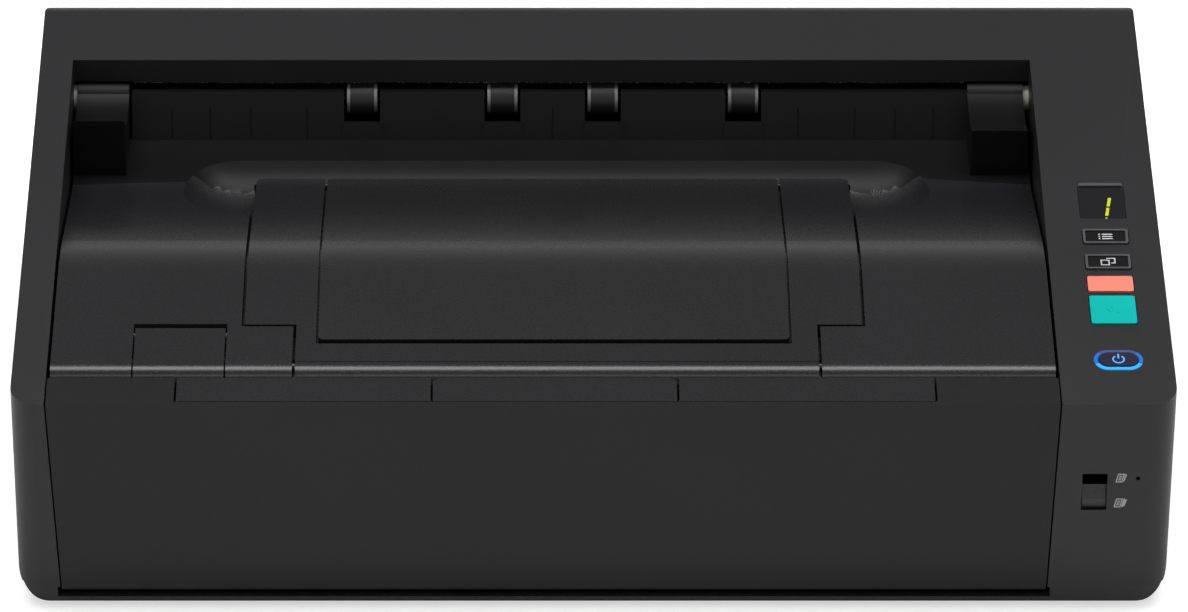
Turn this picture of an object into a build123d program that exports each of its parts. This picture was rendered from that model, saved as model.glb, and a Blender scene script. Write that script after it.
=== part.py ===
from build123d import *
from math import cos, hypot, pi, radians, sin, sqrt, tan
import os

os.makedirs("parts", exist_ok=True)

# Casing: +X to the right, +Y to the back, +Z up, origin under the middle of the casing
scanner_width = 424.0
scanner_depth = 246.0
front_height = 89.4
top_slope = 7.2
wall = 2.5
plan_round = 10.0
bottom_round = 12.0
back_top_round = 9.0
foot_height = 3.0
foot_radius = 9.0
floor_thickness = 2.0
parting_height = 9.5
base_inset = 0.5

# Clearances
slide_gap = 0.4
free_gap = 0.6
unit_gap = 1.2
running_gap = 0.05
nip_gap = 0.3

# Well between the arms, where the upper unit lies
well_left = -199.4
well_right = 169.8
path_centre = -14.3
panel_taper_left = 3.2
panel_taper_right = 2.2
skirt = 2.0
skirt_bottom = 44.0
bezel_front = 205.2
bezel_wall = 1.8
bezel_wall_bottom = 105.8

# Top surface of the upper unit, measured back from the casing's front face
roll_radius = 7.0
roll_front = 16.88
crest_reach = 86.5
fall_slope = 12.2
crest_round = 90.0
valley_height = 84.5
valley_round = 30.0
valley_end = 196.5
unit_front = 27.0
unit_skirt_bottom = 72.0
lip_height = 102.6
lip_lean = 6.3
lip_thickness = 1.9
lip_left = -177.0
lip_right = 146.0
lip_groove_offsets = (-147.2, -132.4, -116.8, -94.9, 0, 94.9, 116.8, 132.4, 147.2)
lip_groove_width = 0.7
lip_groove_top = 96.5
lip_pocket_bottom = 90.7

# Hinge of the upper unit, round the eject shaft
hinge_reach = 207.7
hinge_height = 97.0
eject_shaft_radius = 2.0
hinge_bush_radius = 5.0
hinge_cover_radius = 8.0
hinge_cover_front = 170.0

# Scoop behind the eject tray
scoop_radius = 28.8
scoop_reach = 159.85
scoop_rise = 104.0
scoop_half = 121.0
scoop_centre = -12.9

# Eject tray and its folding extension
tray_left = -128.0
tray_right = 99.0
tray_end = 172.0
tray_step = 45.5
tray_bar_left = -108.9
tray_bar_right = 82.4
tray_thickness = 5.0
tray_recess = 5.6
tray_gap = 1.1
tray_floor = 1.8
tray_hinge_reach = 24.5
tray_hinge_depth = 2.5
tray_nose_radius = 7.9
extension_left = -100.8
extension_right = 72.0
extension_front = 37.0
extension_front_gap = 2.4
extension_gap = 0.8
extension_thickness = 2.8
extension_hinge_reach = 169.2
extension_knuckle = 2.2
tray_pin_radius = 1.5
extension_pin_radius = 1.0
tray_corner = 3.0

# Lever that opens the upper unit, and its latch
lever_left = -168.0
lever_right = -134.9
lever_end = 44.7
lever_thickness = 2.6
lever_hinge_reach = 42.5
lever_hinge_depth = 3.0
latch_reach = 46.0
latch_height = 78.0
latch_shaft_radius = 2.5
stud_reach = 40.0
stud_height = 62.0
stud_radius = 2.5

# Paper path
guide_front = 24.0
guide_mouth = 15.5
guide_height = 43.0
guide_ramp_end = 71.7
guide_thickness = 2.5
guide_end = 188.0
path_gap = 3.0
turn_reach = 190.0
turn_height = 66.0
turn_radius = 23.0
nose_radius = 20.5
turn_thickness = 1.5

# Rollers: places are measured back from the front face and up from the table
shaft_radius = 3.0
pinch_shaft_radius = 2.0
tyre_width = 11.6
tyre_pocket = 13.9
tyre_offsets = (-73.7, -19.4, 19.4, 73.7)
feed_reach = 60.0
feed_height = 24.0
feed_radius = 12.0
feed_width = 38.0
retard_radius = 11.0
registration_reach = 92.0
transport_reach = 163.0
drive_radius = 9.0
pinch_radius = 7.5
eject_radius = 6.1
eject_rim = 1.2
eject_rim_step = 0.35
eject_pinch_radius = 4.0
eject_pinch_angle = 60.0
eject_pinch_shaft_radius = 1.5
bush_radius = 5.0

# Drive in the right arm
frame_thickness = 1.6
frame_gap = 1.0
gear_module = 0.8
belt_thickness = 1.2
belt_width = 5.0
gear_width = 5.0
layer_gap = 2.2
pulley_radius = 8.0
motor_pulley_radius = 5.0
motor_reach = 128.0
motor_height = 22.0
motor_radius = 14.0
motor_length = 27.0
feed_motor_radius = 12.0
feed_pinion_teeth = 12
feed_gear_teeth = 40
feed_pinion_angle = -10.0
idler_teeth = 36
eject_teeth = 32
idler_angle = 235.0
motor_shaft_radius = 1.5

# Image sensors
sensor_left = -170.0
sensor_right = 138.0
sensor_width = 18.0
lower_sensor_reach = 115.0
upper_sensor_reach = 139.0
sensor_height = 14.0
glass_thickness = 0.8

# Feed tray, closed as the front panel
panel_thickness = 2.4
panel_edge = 1.6
panel_bottom = 7.5
panel_bottom_round = 2.0
feed_hinge_reach = 6.0
feed_hinge_height = 12.5
feed_pin_radius = 2.5
strip_reach = 15.0
strip_thickness = 2.2
outer_left = -151.6
outer_right = 123.9
tip_left = -58.4
tip_right = 30.3
strip_gap = 0.8
extension_layer = 3.0
extension_plate = 2.6
rack_layer = 6.2
rack_plate = 2.2
tray_floor_layer = 9.0
tray_floor_plate = 1.6
fence_depth = 7.5
fence_thickness = 2.5
fence_top = 77.0
fence_bottom = 17.0
fence_half = 153.0
fence_travel = 110.0
rack_pinion_teeth = 12
rack_middle = 48.0

# Control panel on the right arm, measured up the slope from the front edge
control_left = 183.0
control_right = 200.5
display_start = 108.5
display_end = 129.6
mode_start = 92.7
mode_end = 101.8
menu_start = 77.6
menu_end = 86.7
stop_start = 64.2
stop_end = 73.7
start_start = 45.4
start_end = 62.2
power_place = 25.2
power_width = 18.2
power_height = 11.3
ring_width = 1.5
key_gap = 0.35
key_proud = 0.7
key_travel = 0.8
board_depth = 11.0
board_thickness = 1.6
board_start = 16.0
board_end = 133.0
board_pillar_radius = 2.2
board_pillar_places = (board_start + 3.5, board_end - 3.0)

# Feed selector on the front of the right arm
selector_left = 178.4
selector_right = 187.6
selector_bottom = 43.6
selector_top = 59.4
selector_knob = 7.4

left, right = -scanner_width / 2, scanner_width / 2
front, back = -scanner_depth / 2, scanner_depth / 2
slope = tan(radians(top_slope))
fall = tan(radians(fall_slope))
hinge_y = front + hinge_reach
unit_left, unit_right = well_left + unit_gap, well_right - unit_gap
frame_left = well_left - skirt - 0.3
frame_right = well_right + skirt + frame_gap
belt_start = frame_right + frame_thickness + layer_gap
gear_start = belt_start + belt_width + layer_gap
shaft_left = frame_left - frame_thickness - 1.0
shaft_right = belt_start + belt_width + 1.0
cheek_left, cheek_right = unit_left + 8.2, unit_right - 8.7


def arm_top(y):
    """Height of the arms' sloped top at y."""
    return front_height + slope * (y - front)


crest_y = front + crest_reach
crest_z = arm_top(crest_y)
roll_y = front + roll_front + roll_radius
roll_top_y = roll_y - roll_radius * sin(radians(top_slope))
roll_z = arm_top(roll_top_y) - roll_radius * cos(radians(top_slope))
valley_y = crest_y + (crest_z - valley_height) / fall


def descent(y):
    """Height of the line that falls from the crest to the back at y."""
    return crest_z - fall * (y - crest_y)


def block(x, y, z, mode=Mode.ADD):
    """Box that spans the two values of each pair."""
    with Locations(((x[0] + x[1]) / 2, (y[0] + y[1]) / 2, (z[0] + z[1]) / 2)):
        Box(x[1] - x[0], y[1] - y[0], z[1] - z[0], mode=mode)


def rod(radius, x, y, z, mode=Mode.ADD):
    """Round bar across the scanner that spans the pair x."""
    with Locations(((x[0] + x[1]) / 2, y, z)):
        Cylinder(radius, x[1] - x[0], rotation=(0, 90, 0), mode=mode)


def across(points, x, mode=Mode.ADD):
    """Side outline through (y, z) points, run across the scanner over the pair x."""
    with BuildSketch(Plane.YZ.offset(x[0])) as outline:
        with BuildLine():
            Polyline(*points, close=True)
        make_face()
    extrude(outline.sketch, amount=x[1] - x[0], mode=mode)


def band(x, y, upper, lower, mode=Mode.ADD):
    """Slice of the unit's bent top between two depths below its surface."""
    with BuildSketch(Plane.YZ.offset(x[0])) as slice_face:
        with BuildLine():
            ends = []
            for depth in (upper, lower):
                line = FilletPolyline(
                    (y[0], arm_top(y[0]) - depth),
                    (crest_y, crest_z - depth),
                    (y[1], descent(y[1]) - depth),
                    radius=crest_round,
                )
                ends.append(line)
            Line(ends[0] @ 0, ends[1] @ 0)
            Line(ends[0] @ 1, ends[1] @ 1)
        make_face()
    extrude(slice_face.sketch, amount=x[1] - x[0], mode=mode)


def casing_form(inset, bottom):
    """Outer form of the whole casing, drawn in by inset."""
    low, high = bottom, arm_top(back) + 10
    with BuildPart() as form:
        with BuildSketch(Plane.XZ.offset(-(back - inset))):
            with Locations((0, (low + high) / 2)):
                Rectangle(scanner_width - 2 * inset, high - low)
            fillet(vertices().group_by(Axis.Y)[0], bottom_round - inset)
        extrude(amount=scanner_depth - 2 * inset)
        drop = inset / cos(radians(top_slope))
        with BuildSketch(Plane.YZ.offset(left)):
            with BuildLine():
                Polyline(
                    (front, low),
                    (front, arm_top(front) - drop),
                    (back - inset, arm_top(back - inset) - drop),
                    (back - inset, low),
                    close=True,
                )
            make_face()
            fillet(vertices().sort_by(Axis.Y)[-1], back_top_round - inset)
        extrude(amount=scanner_width, mode=Mode.INTERSECT)
        with BuildSketch(Plane.XY):
            RectangleRounded(
                scanner_width - 2 * inset, scanner_depth - 2 * inset, plan_round - inset
            )
        extrude(amount=high, mode=Mode.INTERSECT)
    return form.part


def gear(teeth, x, y, z, turn, mode=Mode.ADD):
    """Spur gear with straight-sided teeth over the pair x; turn is the angle of one tooth."""
    pitch = gear_module * teeth / 2
    root, tip = pitch - 1.15 * gear_module, pitch + 0.85 * gear_module
    points = []
    for tooth in range(teeth):
        for share, radius in ((-0.30, root), (-0.12, tip), (0.12, tip), (0.30, root)):
            angle = radians(turn) + 2 * pi * (tooth + share) / teeth
            points.append((y + radius * cos(angle), z + radius * sin(angle)))
    across(points, x, mode)


arm_plane = Plane(
    origin=(0, front, front_height),
    x_dir=(1, 0, 0),
    z_dir=(0, -sin(radians(top_slope)), cos(radians(top_slope))),
)
control_x = (control_left + control_right) / 2
control_width = control_right - control_left
keys = {
    "mode_key": (mode_start, mode_end),
    "menu_key": (menu_start, menu_end),
    "stop_button": (stop_start, stop_end),
    "start_button": (start_start, start_end),
}

# Roller places worked out from the paper path
drive_z = guide_height + nip_gap - drive_radius
pinch_z = guide_height + 2 * nip_gap + pinch_radius
ramp = hypot(guide_ramp_end - guide_front, guide_height - guide_mouth)
ramp_y, ramp_z = (guide_ramp_end - guide_front) / ramp, (guide_height - guide_mouth) / ramp
retard_pitch = feed_radius + retard_radius + nip_gap
retard_y = front + feed_reach - retard_pitch * ramp_z
retard_z = feed_height + retard_pitch * ramp_y
eject_pinch_pitch = eject_radius + eject_pinch_radius + nip_gap
eject_pinch_y = hinge_y + eject_pinch_pitch * cos(radians(eject_pinch_angle))
eject_pinch_z = hinge_height + eject_pinch_pitch * sin(radians(eject_pinch_angle))
idler_pitch = gear_module * (idler_teeth + eject_teeth) / 2
idler_y = hinge_y + idler_pitch * cos(radians(idler_angle))
idler_z = hinge_height + idler_pitch * sin(radians(idler_angle))
pinion_pitch = gear_module * (feed_pinion_teeth + feed_gear_teeth) / 2
pinion_y = front + feed_reach + pinion_pitch * cos(radians(feed_pinion_angle))
pinion_z = feed_height + pinion_pitch * sin(radians(feed_pinion_angle))
tray_hinge_y = front + tray_hinge_reach
tray_hinge_z = arm_top(tray_hinge_y) - tray_hinge_depth
extension_hinge_y = front + extension_hinge_reach
extension_hinge_z = descent(extension_hinge_y) - extension_knuckle
lever_hinge_y = front + lever_hinge_reach
lever_hinge_z = arm_top(lever_hinge_y) - lever_hinge_depth
lower_shafts = (
    (feed_reach, feed_height),
    (registration_reach, drive_z),
    (transport_reach, drive_z),
)

# Base casing: shallow tray with the front strip under the feed tray
screw_places = [(x, y) for x in (-150, -50, 50, 150) for y in (front + 35, back - 25)]
screw_radius = 1.5
head_radius = 2.8
head_depth = 1.2
boss_radius = 4.5
boss_height = 6.0
floor_top = foot_height + floor_thickness
with BuildPart() as base_casing:
    add(casing_form(base_inset, foot_height))
    add(casing_form(base_inset + wall, floor_top), mode=Mode.SUBTRACT)
    block((left, right), (front, back), (parting_height, front_height * 2), Mode.SUBTRACT)
    block(
        (well_left + panel_taper_left - 1, well_right - panel_taper_right + 1),
        (front - 1, front + roll_front),
        (floor_top, parting_height + 1),
        Mode.SUBTRACT,
    )
    with Locations(*[(x, y, floor_top) for x, y in screw_places]):
        Cylinder(boss_radius, boss_height, align=(Align.CENTER, Align.CENTER, Align.MIN))
    with Locations(*[(x, y, foot_height) for x, y in screw_places]):
        Cylinder(
            screw_radius,
            boss_height,
            align=(Align.CENTER, Align.CENTER, Align.MIN),
            mode=Mode.SUBTRACT,
        )
        Cylinder(
            head_radius,
            head_depth,
            align=(Align.CENTER, Align.CENTER, Align.MIN),
            mode=Mode.SUBTRACT,
        )
base_casing.part.label = "base_casing"
export_step(base_casing.part, "parts/base_casing.step")

with BuildPart() as casing_screws:
    with Locations(*[(x, y, foot_height) for x, y in screw_places]):
        Cylinder(head_radius, head_depth, align=(Align.CENTER, Align.CENTER, Align.MIN))
        Cylinder(screw_radius, boss_height, align=(Align.CENTER, Align.CENTER, Align.MIN))
        for size in ((3.0, 0.6), (0.6, 3.0)):
            Box(*size, 0.8, align=(Align.CENTER, Align.CENTER, Align.MIN), mode=Mode.SUBTRACT)
casing_screws.part.label = "casing_screws"
export_step(casing_screws.part, "parts/casing_screws.step")

foot_places = [(x, y) for x in (left + 32, right - 32) for y in (front + 24, back - 24)]
with BuildPart() as rubber_feet:
    with Locations(*[(x, y, 0) for x, y in foot_places]):
        Cylinder(foot_radius, foot_height, align=(Align.CENTER, Align.CENTER, Align.MIN))
    chamfer(rubber_feet.edges().group_by(Axis.Z)[0], 0.8)
rubber_feet.part.label = "rubber_feet"
export_step(rubber_feet.part, "parts/rubber_feet.step")

# Top casing: both arms, the rear bezel and the outer walls in one moulding
jaw_depth = roll_front - 0.5
rear_opening = (-181.0, 181.0)
rear_opening_z = (13.7, 99.0)
skirt_step = 150.0
skirt_rear_bottom = 74.0
pinhole_x, pinhole_z = 198.7, 57.4
with BuildPart() as top_casing:
    add(casing_form(0, foot_height))
    add(casing_form(wall, foot_height + wall), mode=Mode.SUBTRACT)
    block((left, right), (front - 1, back + 1), (0, parting_height), Mode.SUBTRACT)
    for x in ((well_left - skirt, well_left), (well_right, well_right + skirt)):
        across(
            [
                (front + jaw_depth, skirt_bottom),
                (front + skirt_step, skirt_bottom),
                (front + skirt_step, skirt_rear_bottom),
                (front + bezel_front + bezel_wall, skirt_rear_bottom),
                (front + bezel_front + bezel_wall, arm_top(front + bezel_front) - 1),
                (front + jaw_depth, arm_top(front + jaw_depth) - 1),
            ],
            x,
        )
    for x in ((well_left - 4.1, well_left + 4.4), (well_right - 3.8, well_right + 3.7)):
        across(
            [
                (front, parting_height),
                (front, front_height - 1),
                (front + jaw_depth, arm_top(front + jaw_depth) - 1),
                (front + jaw_depth, parting_height),
            ],
            x,
        )
    across(
        [
            (front + bezel_front, bezel_wall_bottom),
            (front + bezel_front, arm_top(front + bezel_front) - 1),
            (front + bezel_front + bezel_wall, arm_top(front + bezel_front) - 1),
            (front + bezel_front + bezel_wall, bezel_wall_bottom),
        ],
        (well_left - skirt, well_right + skirt),
    )
    block(
        (well_left, well_right),
        (front + jaw_depth, front + bezel_front),
        (skirt_bottom - 1, arm_top(back)),
        Mode.SUBTRACT,
    )
    with BuildSketch(Plane.XZ.offset(-(front + jaw_depth + 0.5))) as jaw_opening:
        with BuildLine():
            Polyline(
                (well_left, arm_top(back)),
                (well_right, arm_top(back)),
                (well_right, front_height),
                (well_right - panel_taper_right, parting_height),
                (well_right - panel_taper_right, 0),
                (well_left + panel_taper_left, 0),
                (well_left + panel_taper_left, parting_height),
                (well_left, front_height),
                close=True,
            )
        make_face()
    extrude(jaw_opening.sketch, amount=jaw_depth + 1, mode=Mode.SUBTRACT)
    rod(feed_pin_radius + running_gap, (well_left - 3, well_right + 3),
        front + feed_hinge_reach, feed_hinge_height, Mode.SUBTRACT)
    rod(hinge_bush_radius + slide_gap, (well_left - 3, well_right + 3),
        hinge_y, hinge_height, Mode.SUBTRACT)
    rod(stud_radius + free_gap, (well_left - 3, well_right + 3),
        front + stud_reach, stud_height, Mode.SUBTRACT)
    block(rear_opening, (back - wall - 1, back + 1), rear_opening_z, Mode.SUBTRACT)
    with BuildSketch(arm_plane) as control_holes:
        for start, end in keys.values():
            with Locations((control_x, (start + end) / 2)):
                RectangleRounded(control_width, end - start, 1.2)
        with Locations((control_x, (display_start + display_end) / 2)):
            Rectangle(control_width - 3, display_end - display_start - 3)
        with Locations((control_x, power_place)):
            SlotOverall(power_width, power_height)
    extrude(control_holes.sketch, amount=-2 * wall, mode=Mode.SUBTRACT)
    with BuildSketch(arm_plane) as display_seat:
        with Locations((control_x, (display_start + display_end) / 2)):
            RectangleRounded(control_width, display_end - display_start, 1.0)
    extrude(display_seat.sketch, amount=-1.3, mode=Mode.SUBTRACT)
    block((selector_left, selector_right), (front - 1, front + wall + 1),
          (selector_bottom, selector_top), Mode.SUBTRACT)
    with Locations((pinhole_x, front, pinhole_z)):
        Cylinder(0.8, 4 * wall, rotation=(90, 0, 0), mode=Mode.SUBTRACT)
    with BuildSketch(arm_plane.offset(-wall + 0.2)) as board_pillars:
        with Locations(*[(control_x + x, y) for x in (-12.5, 12.5) for y in board_pillar_places]):
            Circle(board_pillar_radius)
    extrude(board_pillars.sketch, amount=wall - 0.2 - board_depth)
top_casing.part.label = "top_casing"
export_step(top_casing.part, "parts/top_casing.step")

# Side frames: steel plates that carry the shafts, with a stud each for the latch
frame_foot = floor_top + 1.0
frame_outline = [
    (20, frame_foot), (20, 40), (32, 48), (32, 68), (48, 68), (52, 44), (160, 44),
    (176, 104), (224, 104), (232, 60), (232, frame_foot),
]
frame_points = [(front + y, z) for y, z in frame_outline]
stud_reach_in = 9.0
axle_end = gear_start + gear_width + 1.0
with BuildPart() as side_frame_left:
    across(frame_points, (frame_left - frame_thickness, frame_left))
    rod(stud_radius, (frame_left, frame_left + stud_reach_in + 0.4), front + stud_reach, stud_height)
    for reach, height in lower_shafts:
        rod(bush_radius, (shaft_left, frame_left + 1), front + reach, height, Mode.SUBTRACT)
    rod(hinge_bush_radius, (shaft_left, frame_left + 1), hinge_y, hinge_height, Mode.SUBTRACT)
side_frame_left.part.label = "side_frame_left"
export_step(side_frame_left.part, "parts/side_frame_left.step")

with BuildPart() as side_frame_right:
    across(frame_points, (frame_right, frame_right + frame_thickness))
    rod(stud_radius, (frame_right - stud_reach_in - 1.6, frame_right), front + stud_reach, stud_height)
    rod(shaft_radius, (frame_right + frame_thickness, axle_end), idler_y, idler_z)
    through = (frame_right - 1, frame_right + frame_thickness + 1)
    for reach, height in lower_shafts:
        rod(bush_radius, through, front + reach, height, Mode.SUBTRACT)
    rod(hinge_bush_radius, through, hinge_y, hinge_height, Mode.SUBTRACT)
    rod(2 * motor_shaft_radius, through, front + motor_reach, motor_height, Mode.SUBTRACT)
    rod(2 * motor_shaft_radius, through, pinion_y, pinion_z, Mode.SUBTRACT)
side_frame_right.part.label = "side_frame_right"
export_step(side_frame_right.part, "parts/side_frame_right.step")

# Bushes: flanged ones for the lower shafts, long ones that the upper unit swings on
flange_radius = 6.0
flange_thickness = 1.0
with BuildPart() as shaft_bushes:
    for reach, height in lower_shafts:
        left_flange = (frame_left, frame_left + flange_thickness)
        right_flange = (frame_right - flange_thickness, frame_right)
        left_tube = (frame_left - frame_thickness, frame_left + flange_thickness)
        right_tube = (frame_right - flange_thickness, frame_right + frame_thickness)
        for flange, tube in ((left_flange, left_tube), (right_flange, right_tube)):
            rod(flange_radius, flange, front + reach, height)
            rod(bush_radius, tube, front + reach, height)
        rod(shaft_radius + running_gap, (shaft_left, shaft_right), front + reach, height, Mode.SUBTRACT)
shaft_bushes.part.label = "shaft_bushes"
export_step(shaft_bushes.part, "parts/shaft_bushes.step")

hinge_left = (unit_left + 0.2, lip_left - 1.0)
hinge_right = (lip_right, unit_right - 1.1)
with BuildPart() as hinge_bushes:
    for tube in (
        (frame_left - frame_thickness, hinge_left[1] - 2.5),
        (hinge_right[0] + 2.5, frame_right + frame_thickness),
    ):
        rod(hinge_bush_radius, tube, hinge_y, hinge_height)
    rod(eject_shaft_radius + running_gap, (shaft_left, shaft_right), hinge_y, hinge_height, Mode.SUBTRACT)
hinge_bushes.part.label = "hinge_bushes"
export_step(hinge_bushes.part, "parts/hinge_bushes.step")

# Lower paper guide: ramp from the mouth, then flat under the sensors
guide_x = (frame_left, frame_right)
ramp_drop = guide_thickness / ramp_y
slot_half = tyre_pocket / 2
with BuildPart() as lower_paper_guide:
    across(
        [
            (front + guide_front, frame_foot),
            (front + guide_front, guide_mouth),
            (front + guide_ramp_end, guide_height),
            (front + guide_end, guide_height),
            (front + guide_end, guide_height - guide_thickness),
            (front + guide_ramp_end + 0.7, guide_height - guide_thickness),
            (front + guide_front + guide_thickness, guide_mouth - ramp_drop + 1.5),
            (front + guide_front + guide_thickness, frame_foot),
        ],
        guide_x,
    )
    feed_foot_y = front + feed_reach - feed_radius * ramp_z
    block(
        (path_centre - feed_width / 2 - 1, path_centre + feed_width / 2 + 1),
        (feed_foot_y - 9.5, feed_foot_y + 10.5),
        (guide_mouth, guide_height + 1),
        Mode.SUBTRACT,
    )
    for reach in (registration_reach, transport_reach):
        for offset in tyre_offsets:
            block(
                (path_centre + offset - slot_half, path_centre + offset + slot_half),
                (front + reach - 8.5, front + reach + 8.5),
                (guide_height - guide_thickness - 1, guide_height + 1),
                Mode.SUBTRACT,
            )
    block(
        (sensor_left - 0.5, sensor_right + 0.5),
        (front + lower_sensor_reach - sensor_width / 2 - 0.5,
         front + lower_sensor_reach + sensor_width / 2 + 0.5),
        (guide_height - guide_thickness - 1, guide_height + 1),
        Mode.SUBTRACT,
    )
lower_paper_guide.part.label = "lower_paper_guide"
export_step(lower_paper_guide.part, "parts/lower_paper_guide.step")

turn_middle = turn_radius + turn_thickness / 2
turn_centre = (front + turn_reach, turn_height)
with BuildPart() as rear_turn_guide:
    with BuildSketch(Plane.YZ.offset(frame_left)) as turn_section:
        with BuildLine():
            Line((front + guide_end, turn_height - turn_middle),
                 (front + turn_reach, turn_height - turn_middle))
            CenterArc(turn_centre, turn_middle, -90, 90)
            Line((front + turn_reach + turn_middle, turn_height),
                 (front + turn_reach + turn_middle, turn_height + 19))
            Line((front + turn_reach + turn_middle, turn_height + 19),
                 (front + turn_reach + turn_middle + 1.6, turn_height + 31))
        trace(line_width=turn_thickness)
    extrude(amount=frame_right - frame_left)
    for x in ((frame_left - 1, hinge_left[1] + free_gap), (hinge_right[0] - free_gap, frame_right + 1)):
        block(x, (hinge_y, hinge_y + 12), (hinge_height - hinge_cover_radius - 1, hinge_height + 4), Mode.SUBTRACT)
rear_turn_guide.part.label = "rear_turn_guide"
export_step(rear_turn_guide.part, "parts/rear_turn_guide.step")

# Image sensors, one from below and one from above, each with its glass
sensor_flange = 3.0
sensor_x = (sensor_left, sensor_right)


def sensor_y(reach, margin=0.0):
    """Span of a sensor along the paper path, made larger by margin."""
    half = sensor_width / 2 + margin
    return (front + reach - half, front + reach + half)


lower_glass_top = guide_height
upper_guide_bottom = guide_height + path_gap
with BuildPart() as lower_image_sensor:
    top = lower_glass_top - glass_thickness
    block(sensor_x, sensor_y(lower_sensor_reach), (top - sensor_height, top))
    flange_top = guide_height - guide_thickness
    block(sensor_x, sensor_y(lower_sensor_reach, sensor_flange), (flange_top - 2, flange_top))
lower_image_sensor.part.label = "lower_image_sensor"
export_step(lower_image_sensor.part, "parts/lower_image_sensor.step")

with BuildPart() as lower_sensor_glass:
    block(sensor_x, sensor_y(lower_sensor_reach, -0.3), (lower_glass_top - glass_thickness, lower_glass_top))
lower_sensor_glass.part.label = "lower_sensor_glass"
export_step(lower_sensor_glass.part, "parts/lower_sensor_glass.step")

with BuildPart() as upper_image_sensor:
    bottom = upper_guide_bottom + glass_thickness
    block(sensor_x, sensor_y(upper_sensor_reach), (bottom, bottom + sensor_height))
    flange_bottom = upper_guide_bottom + guide_thickness
    block(sensor_x, sensor_y(upper_sensor_reach, sensor_flange), (flange_bottom, flange_bottom + 2))
upper_image_sensor.part.label = "upper_image_sensor"
export_step(upper_image_sensor.part, "parts/upper_image_sensor.step")

with BuildPart() as upper_sensor_glass:
    block(sensor_x, sensor_y(upper_sensor_reach, -0.3),
          (upper_guide_bottom, upper_guide_bottom + glass_thickness))
upper_sensor_glass.part.label = "upper_sensor_glass"
export_step(upper_sensor_glass.part, "parts/upper_sensor_glass.step")

# Upper unit's chassis: bottom plate with the round nose of the paper turn, and two cheeks
nose_middle = nose_radius - guide_thickness / 2
plate_middle = upper_guide_bottom + guide_thickness / 2
chassis_mouth = 39.0
rib_half = feed_width / 2 + 2.0
with BuildPart() as unit_chassis:
    with BuildSketch(Plane.YZ.offset(cheek_left)) as plate_section:
        with BuildLine():
            Line((front + unit_front + 1.3, chassis_mouth), (front + guide_ramp_end, plate_middle))
            Line((front + guide_ramp_end, plate_middle), (front + turn_reach, plate_middle))
            CenterArc(turn_centre, nose_middle, -90, 90)
            Line((front + turn_reach + nose_middle, turn_height),
                 (front + turn_reach + nose_middle, turn_height + 17))
        trace(line_width=guide_thickness)
    extrude(amount=cheek_right - cheek_left)
    block((cheek_left, cheek_right), (front + unit_front, front + unit_front + wall),
          (chassis_mouth - 1.5, unit_skirt_bottom))
    for cheek in ((cheek_left, cheek_left + 2), (cheek_right - 2, cheek_right)):
        across(
            [
                (front + unit_front + wall, chassis_mouth + 0.5),
                (front + guide_ramp_end, plate_middle),
                (front + turn_reach, plate_middle),
                (front + turn_reach + nose_middle * 0.7, turn_height - nose_middle * 0.7),
                (front + turn_reach + nose_middle, turn_height),
                (front + turn_reach + nose_middle, valley_height - 1.5),
                (front + valley_end + 2.2, valley_height - 1.5),
                (front + valley_end - 2.5, unit_skirt_bottom + 4),
                (valley_y, valley_height - wall),
                (crest_y, crest_z - wall - 1.5),
                (front + unit_front + wall, arm_top(front + unit_front + wall) - wall),
            ],
            cheek,
        )
    for side in (-1, 1):
        inner = path_centre + side * rib_half
        block(sorted((inner, inner + side * 4.0)), (retard_y - 7, retard_y + 7),
              (retard_z - 4, retard_z + 8))
    block(
        (path_centre - rib_half, path_centre + rib_half),
        (retard_y - retard_radius - 1.5, retard_y + retard_radius + 1.5),
        (chassis_mouth - 3, retard_z + retard_radius),
        Mode.SUBTRACT,
    )
    rod(shaft_radius + running_gap, (path_centre - rib_half - 5, path_centre + rib_half + 5),
        retard_y, retard_z, Mode.SUBTRACT)
    for reach in (registration_reach, transport_reach):
        for offset in tyre_offsets:
            block(
                (path_centre + offset - slot_half, path_centre + offset + slot_half),
                (front + reach - 8, front + reach + 8),
                (upper_guide_bottom - 1, upper_guide_bottom + guide_thickness + 1),
                Mode.SUBTRACT,
            )
        rod(pinch_shaft_radius + running_gap, (cheek_left - 1, cheek_right + 1),
            front + reach, pinch_z, Mode.SUBTRACT)
    block(
        (sensor_left - 0.5, sensor_right + 0.5),
        sensor_y(upper_sensor_reach, 0.5),
        (upper_guide_bottom - 1, upper_guide_bottom + guide_thickness + 0.01),
        Mode.SUBTRACT,
    )
    rod(latch_shaft_radius + running_gap, (cheek_left - 1, cheek_right + 1),
        front + latch_reach, latch_height, Mode.SUBTRACT)
    block((cheek_left - 1, cheek_right + 1), (front + valley_end - 0.8, front + valley_end + 2.3),
          (unit_skirt_bottom - 0.3, valley_height + 1), Mode.SUBTRACT)
unit_chassis.part.label = "unit_chassis"
export_step(unit_chassis.part, "parts/unit_chassis.step")

# Leaf springs that press on the pinch shafts
spring_width = 8.0
spring_thickness = 0.6
spring_top = pinch_z + pinch_shaft_radius + 0.4
with BuildPart() as pinch_springs:
    for reach in (registration_reach, transport_reach):
        for offset in (-46.5, 46.5):
            x = (path_centre + offset - spring_width / 2, path_centre + offset + spring_width / 2)
            block(x, (front + reach + 5, front + reach + 9),
                  (upper_guide_bottom + guide_thickness, upper_guide_bottom + guide_thickness + 0.6))
            block(x, (front + reach + 5, front + reach + 5.6),
                  (upper_guide_bottom + guide_thickness, spring_top + spring_thickness))
            block(x, (front + reach - 4, front + reach + 5.6),
                  (spring_top, spring_top + spring_thickness))
pinch_springs.part.label = "pinch_springs"
export_step(pinch_springs.part, "parts/pinch_springs.step")


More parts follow.
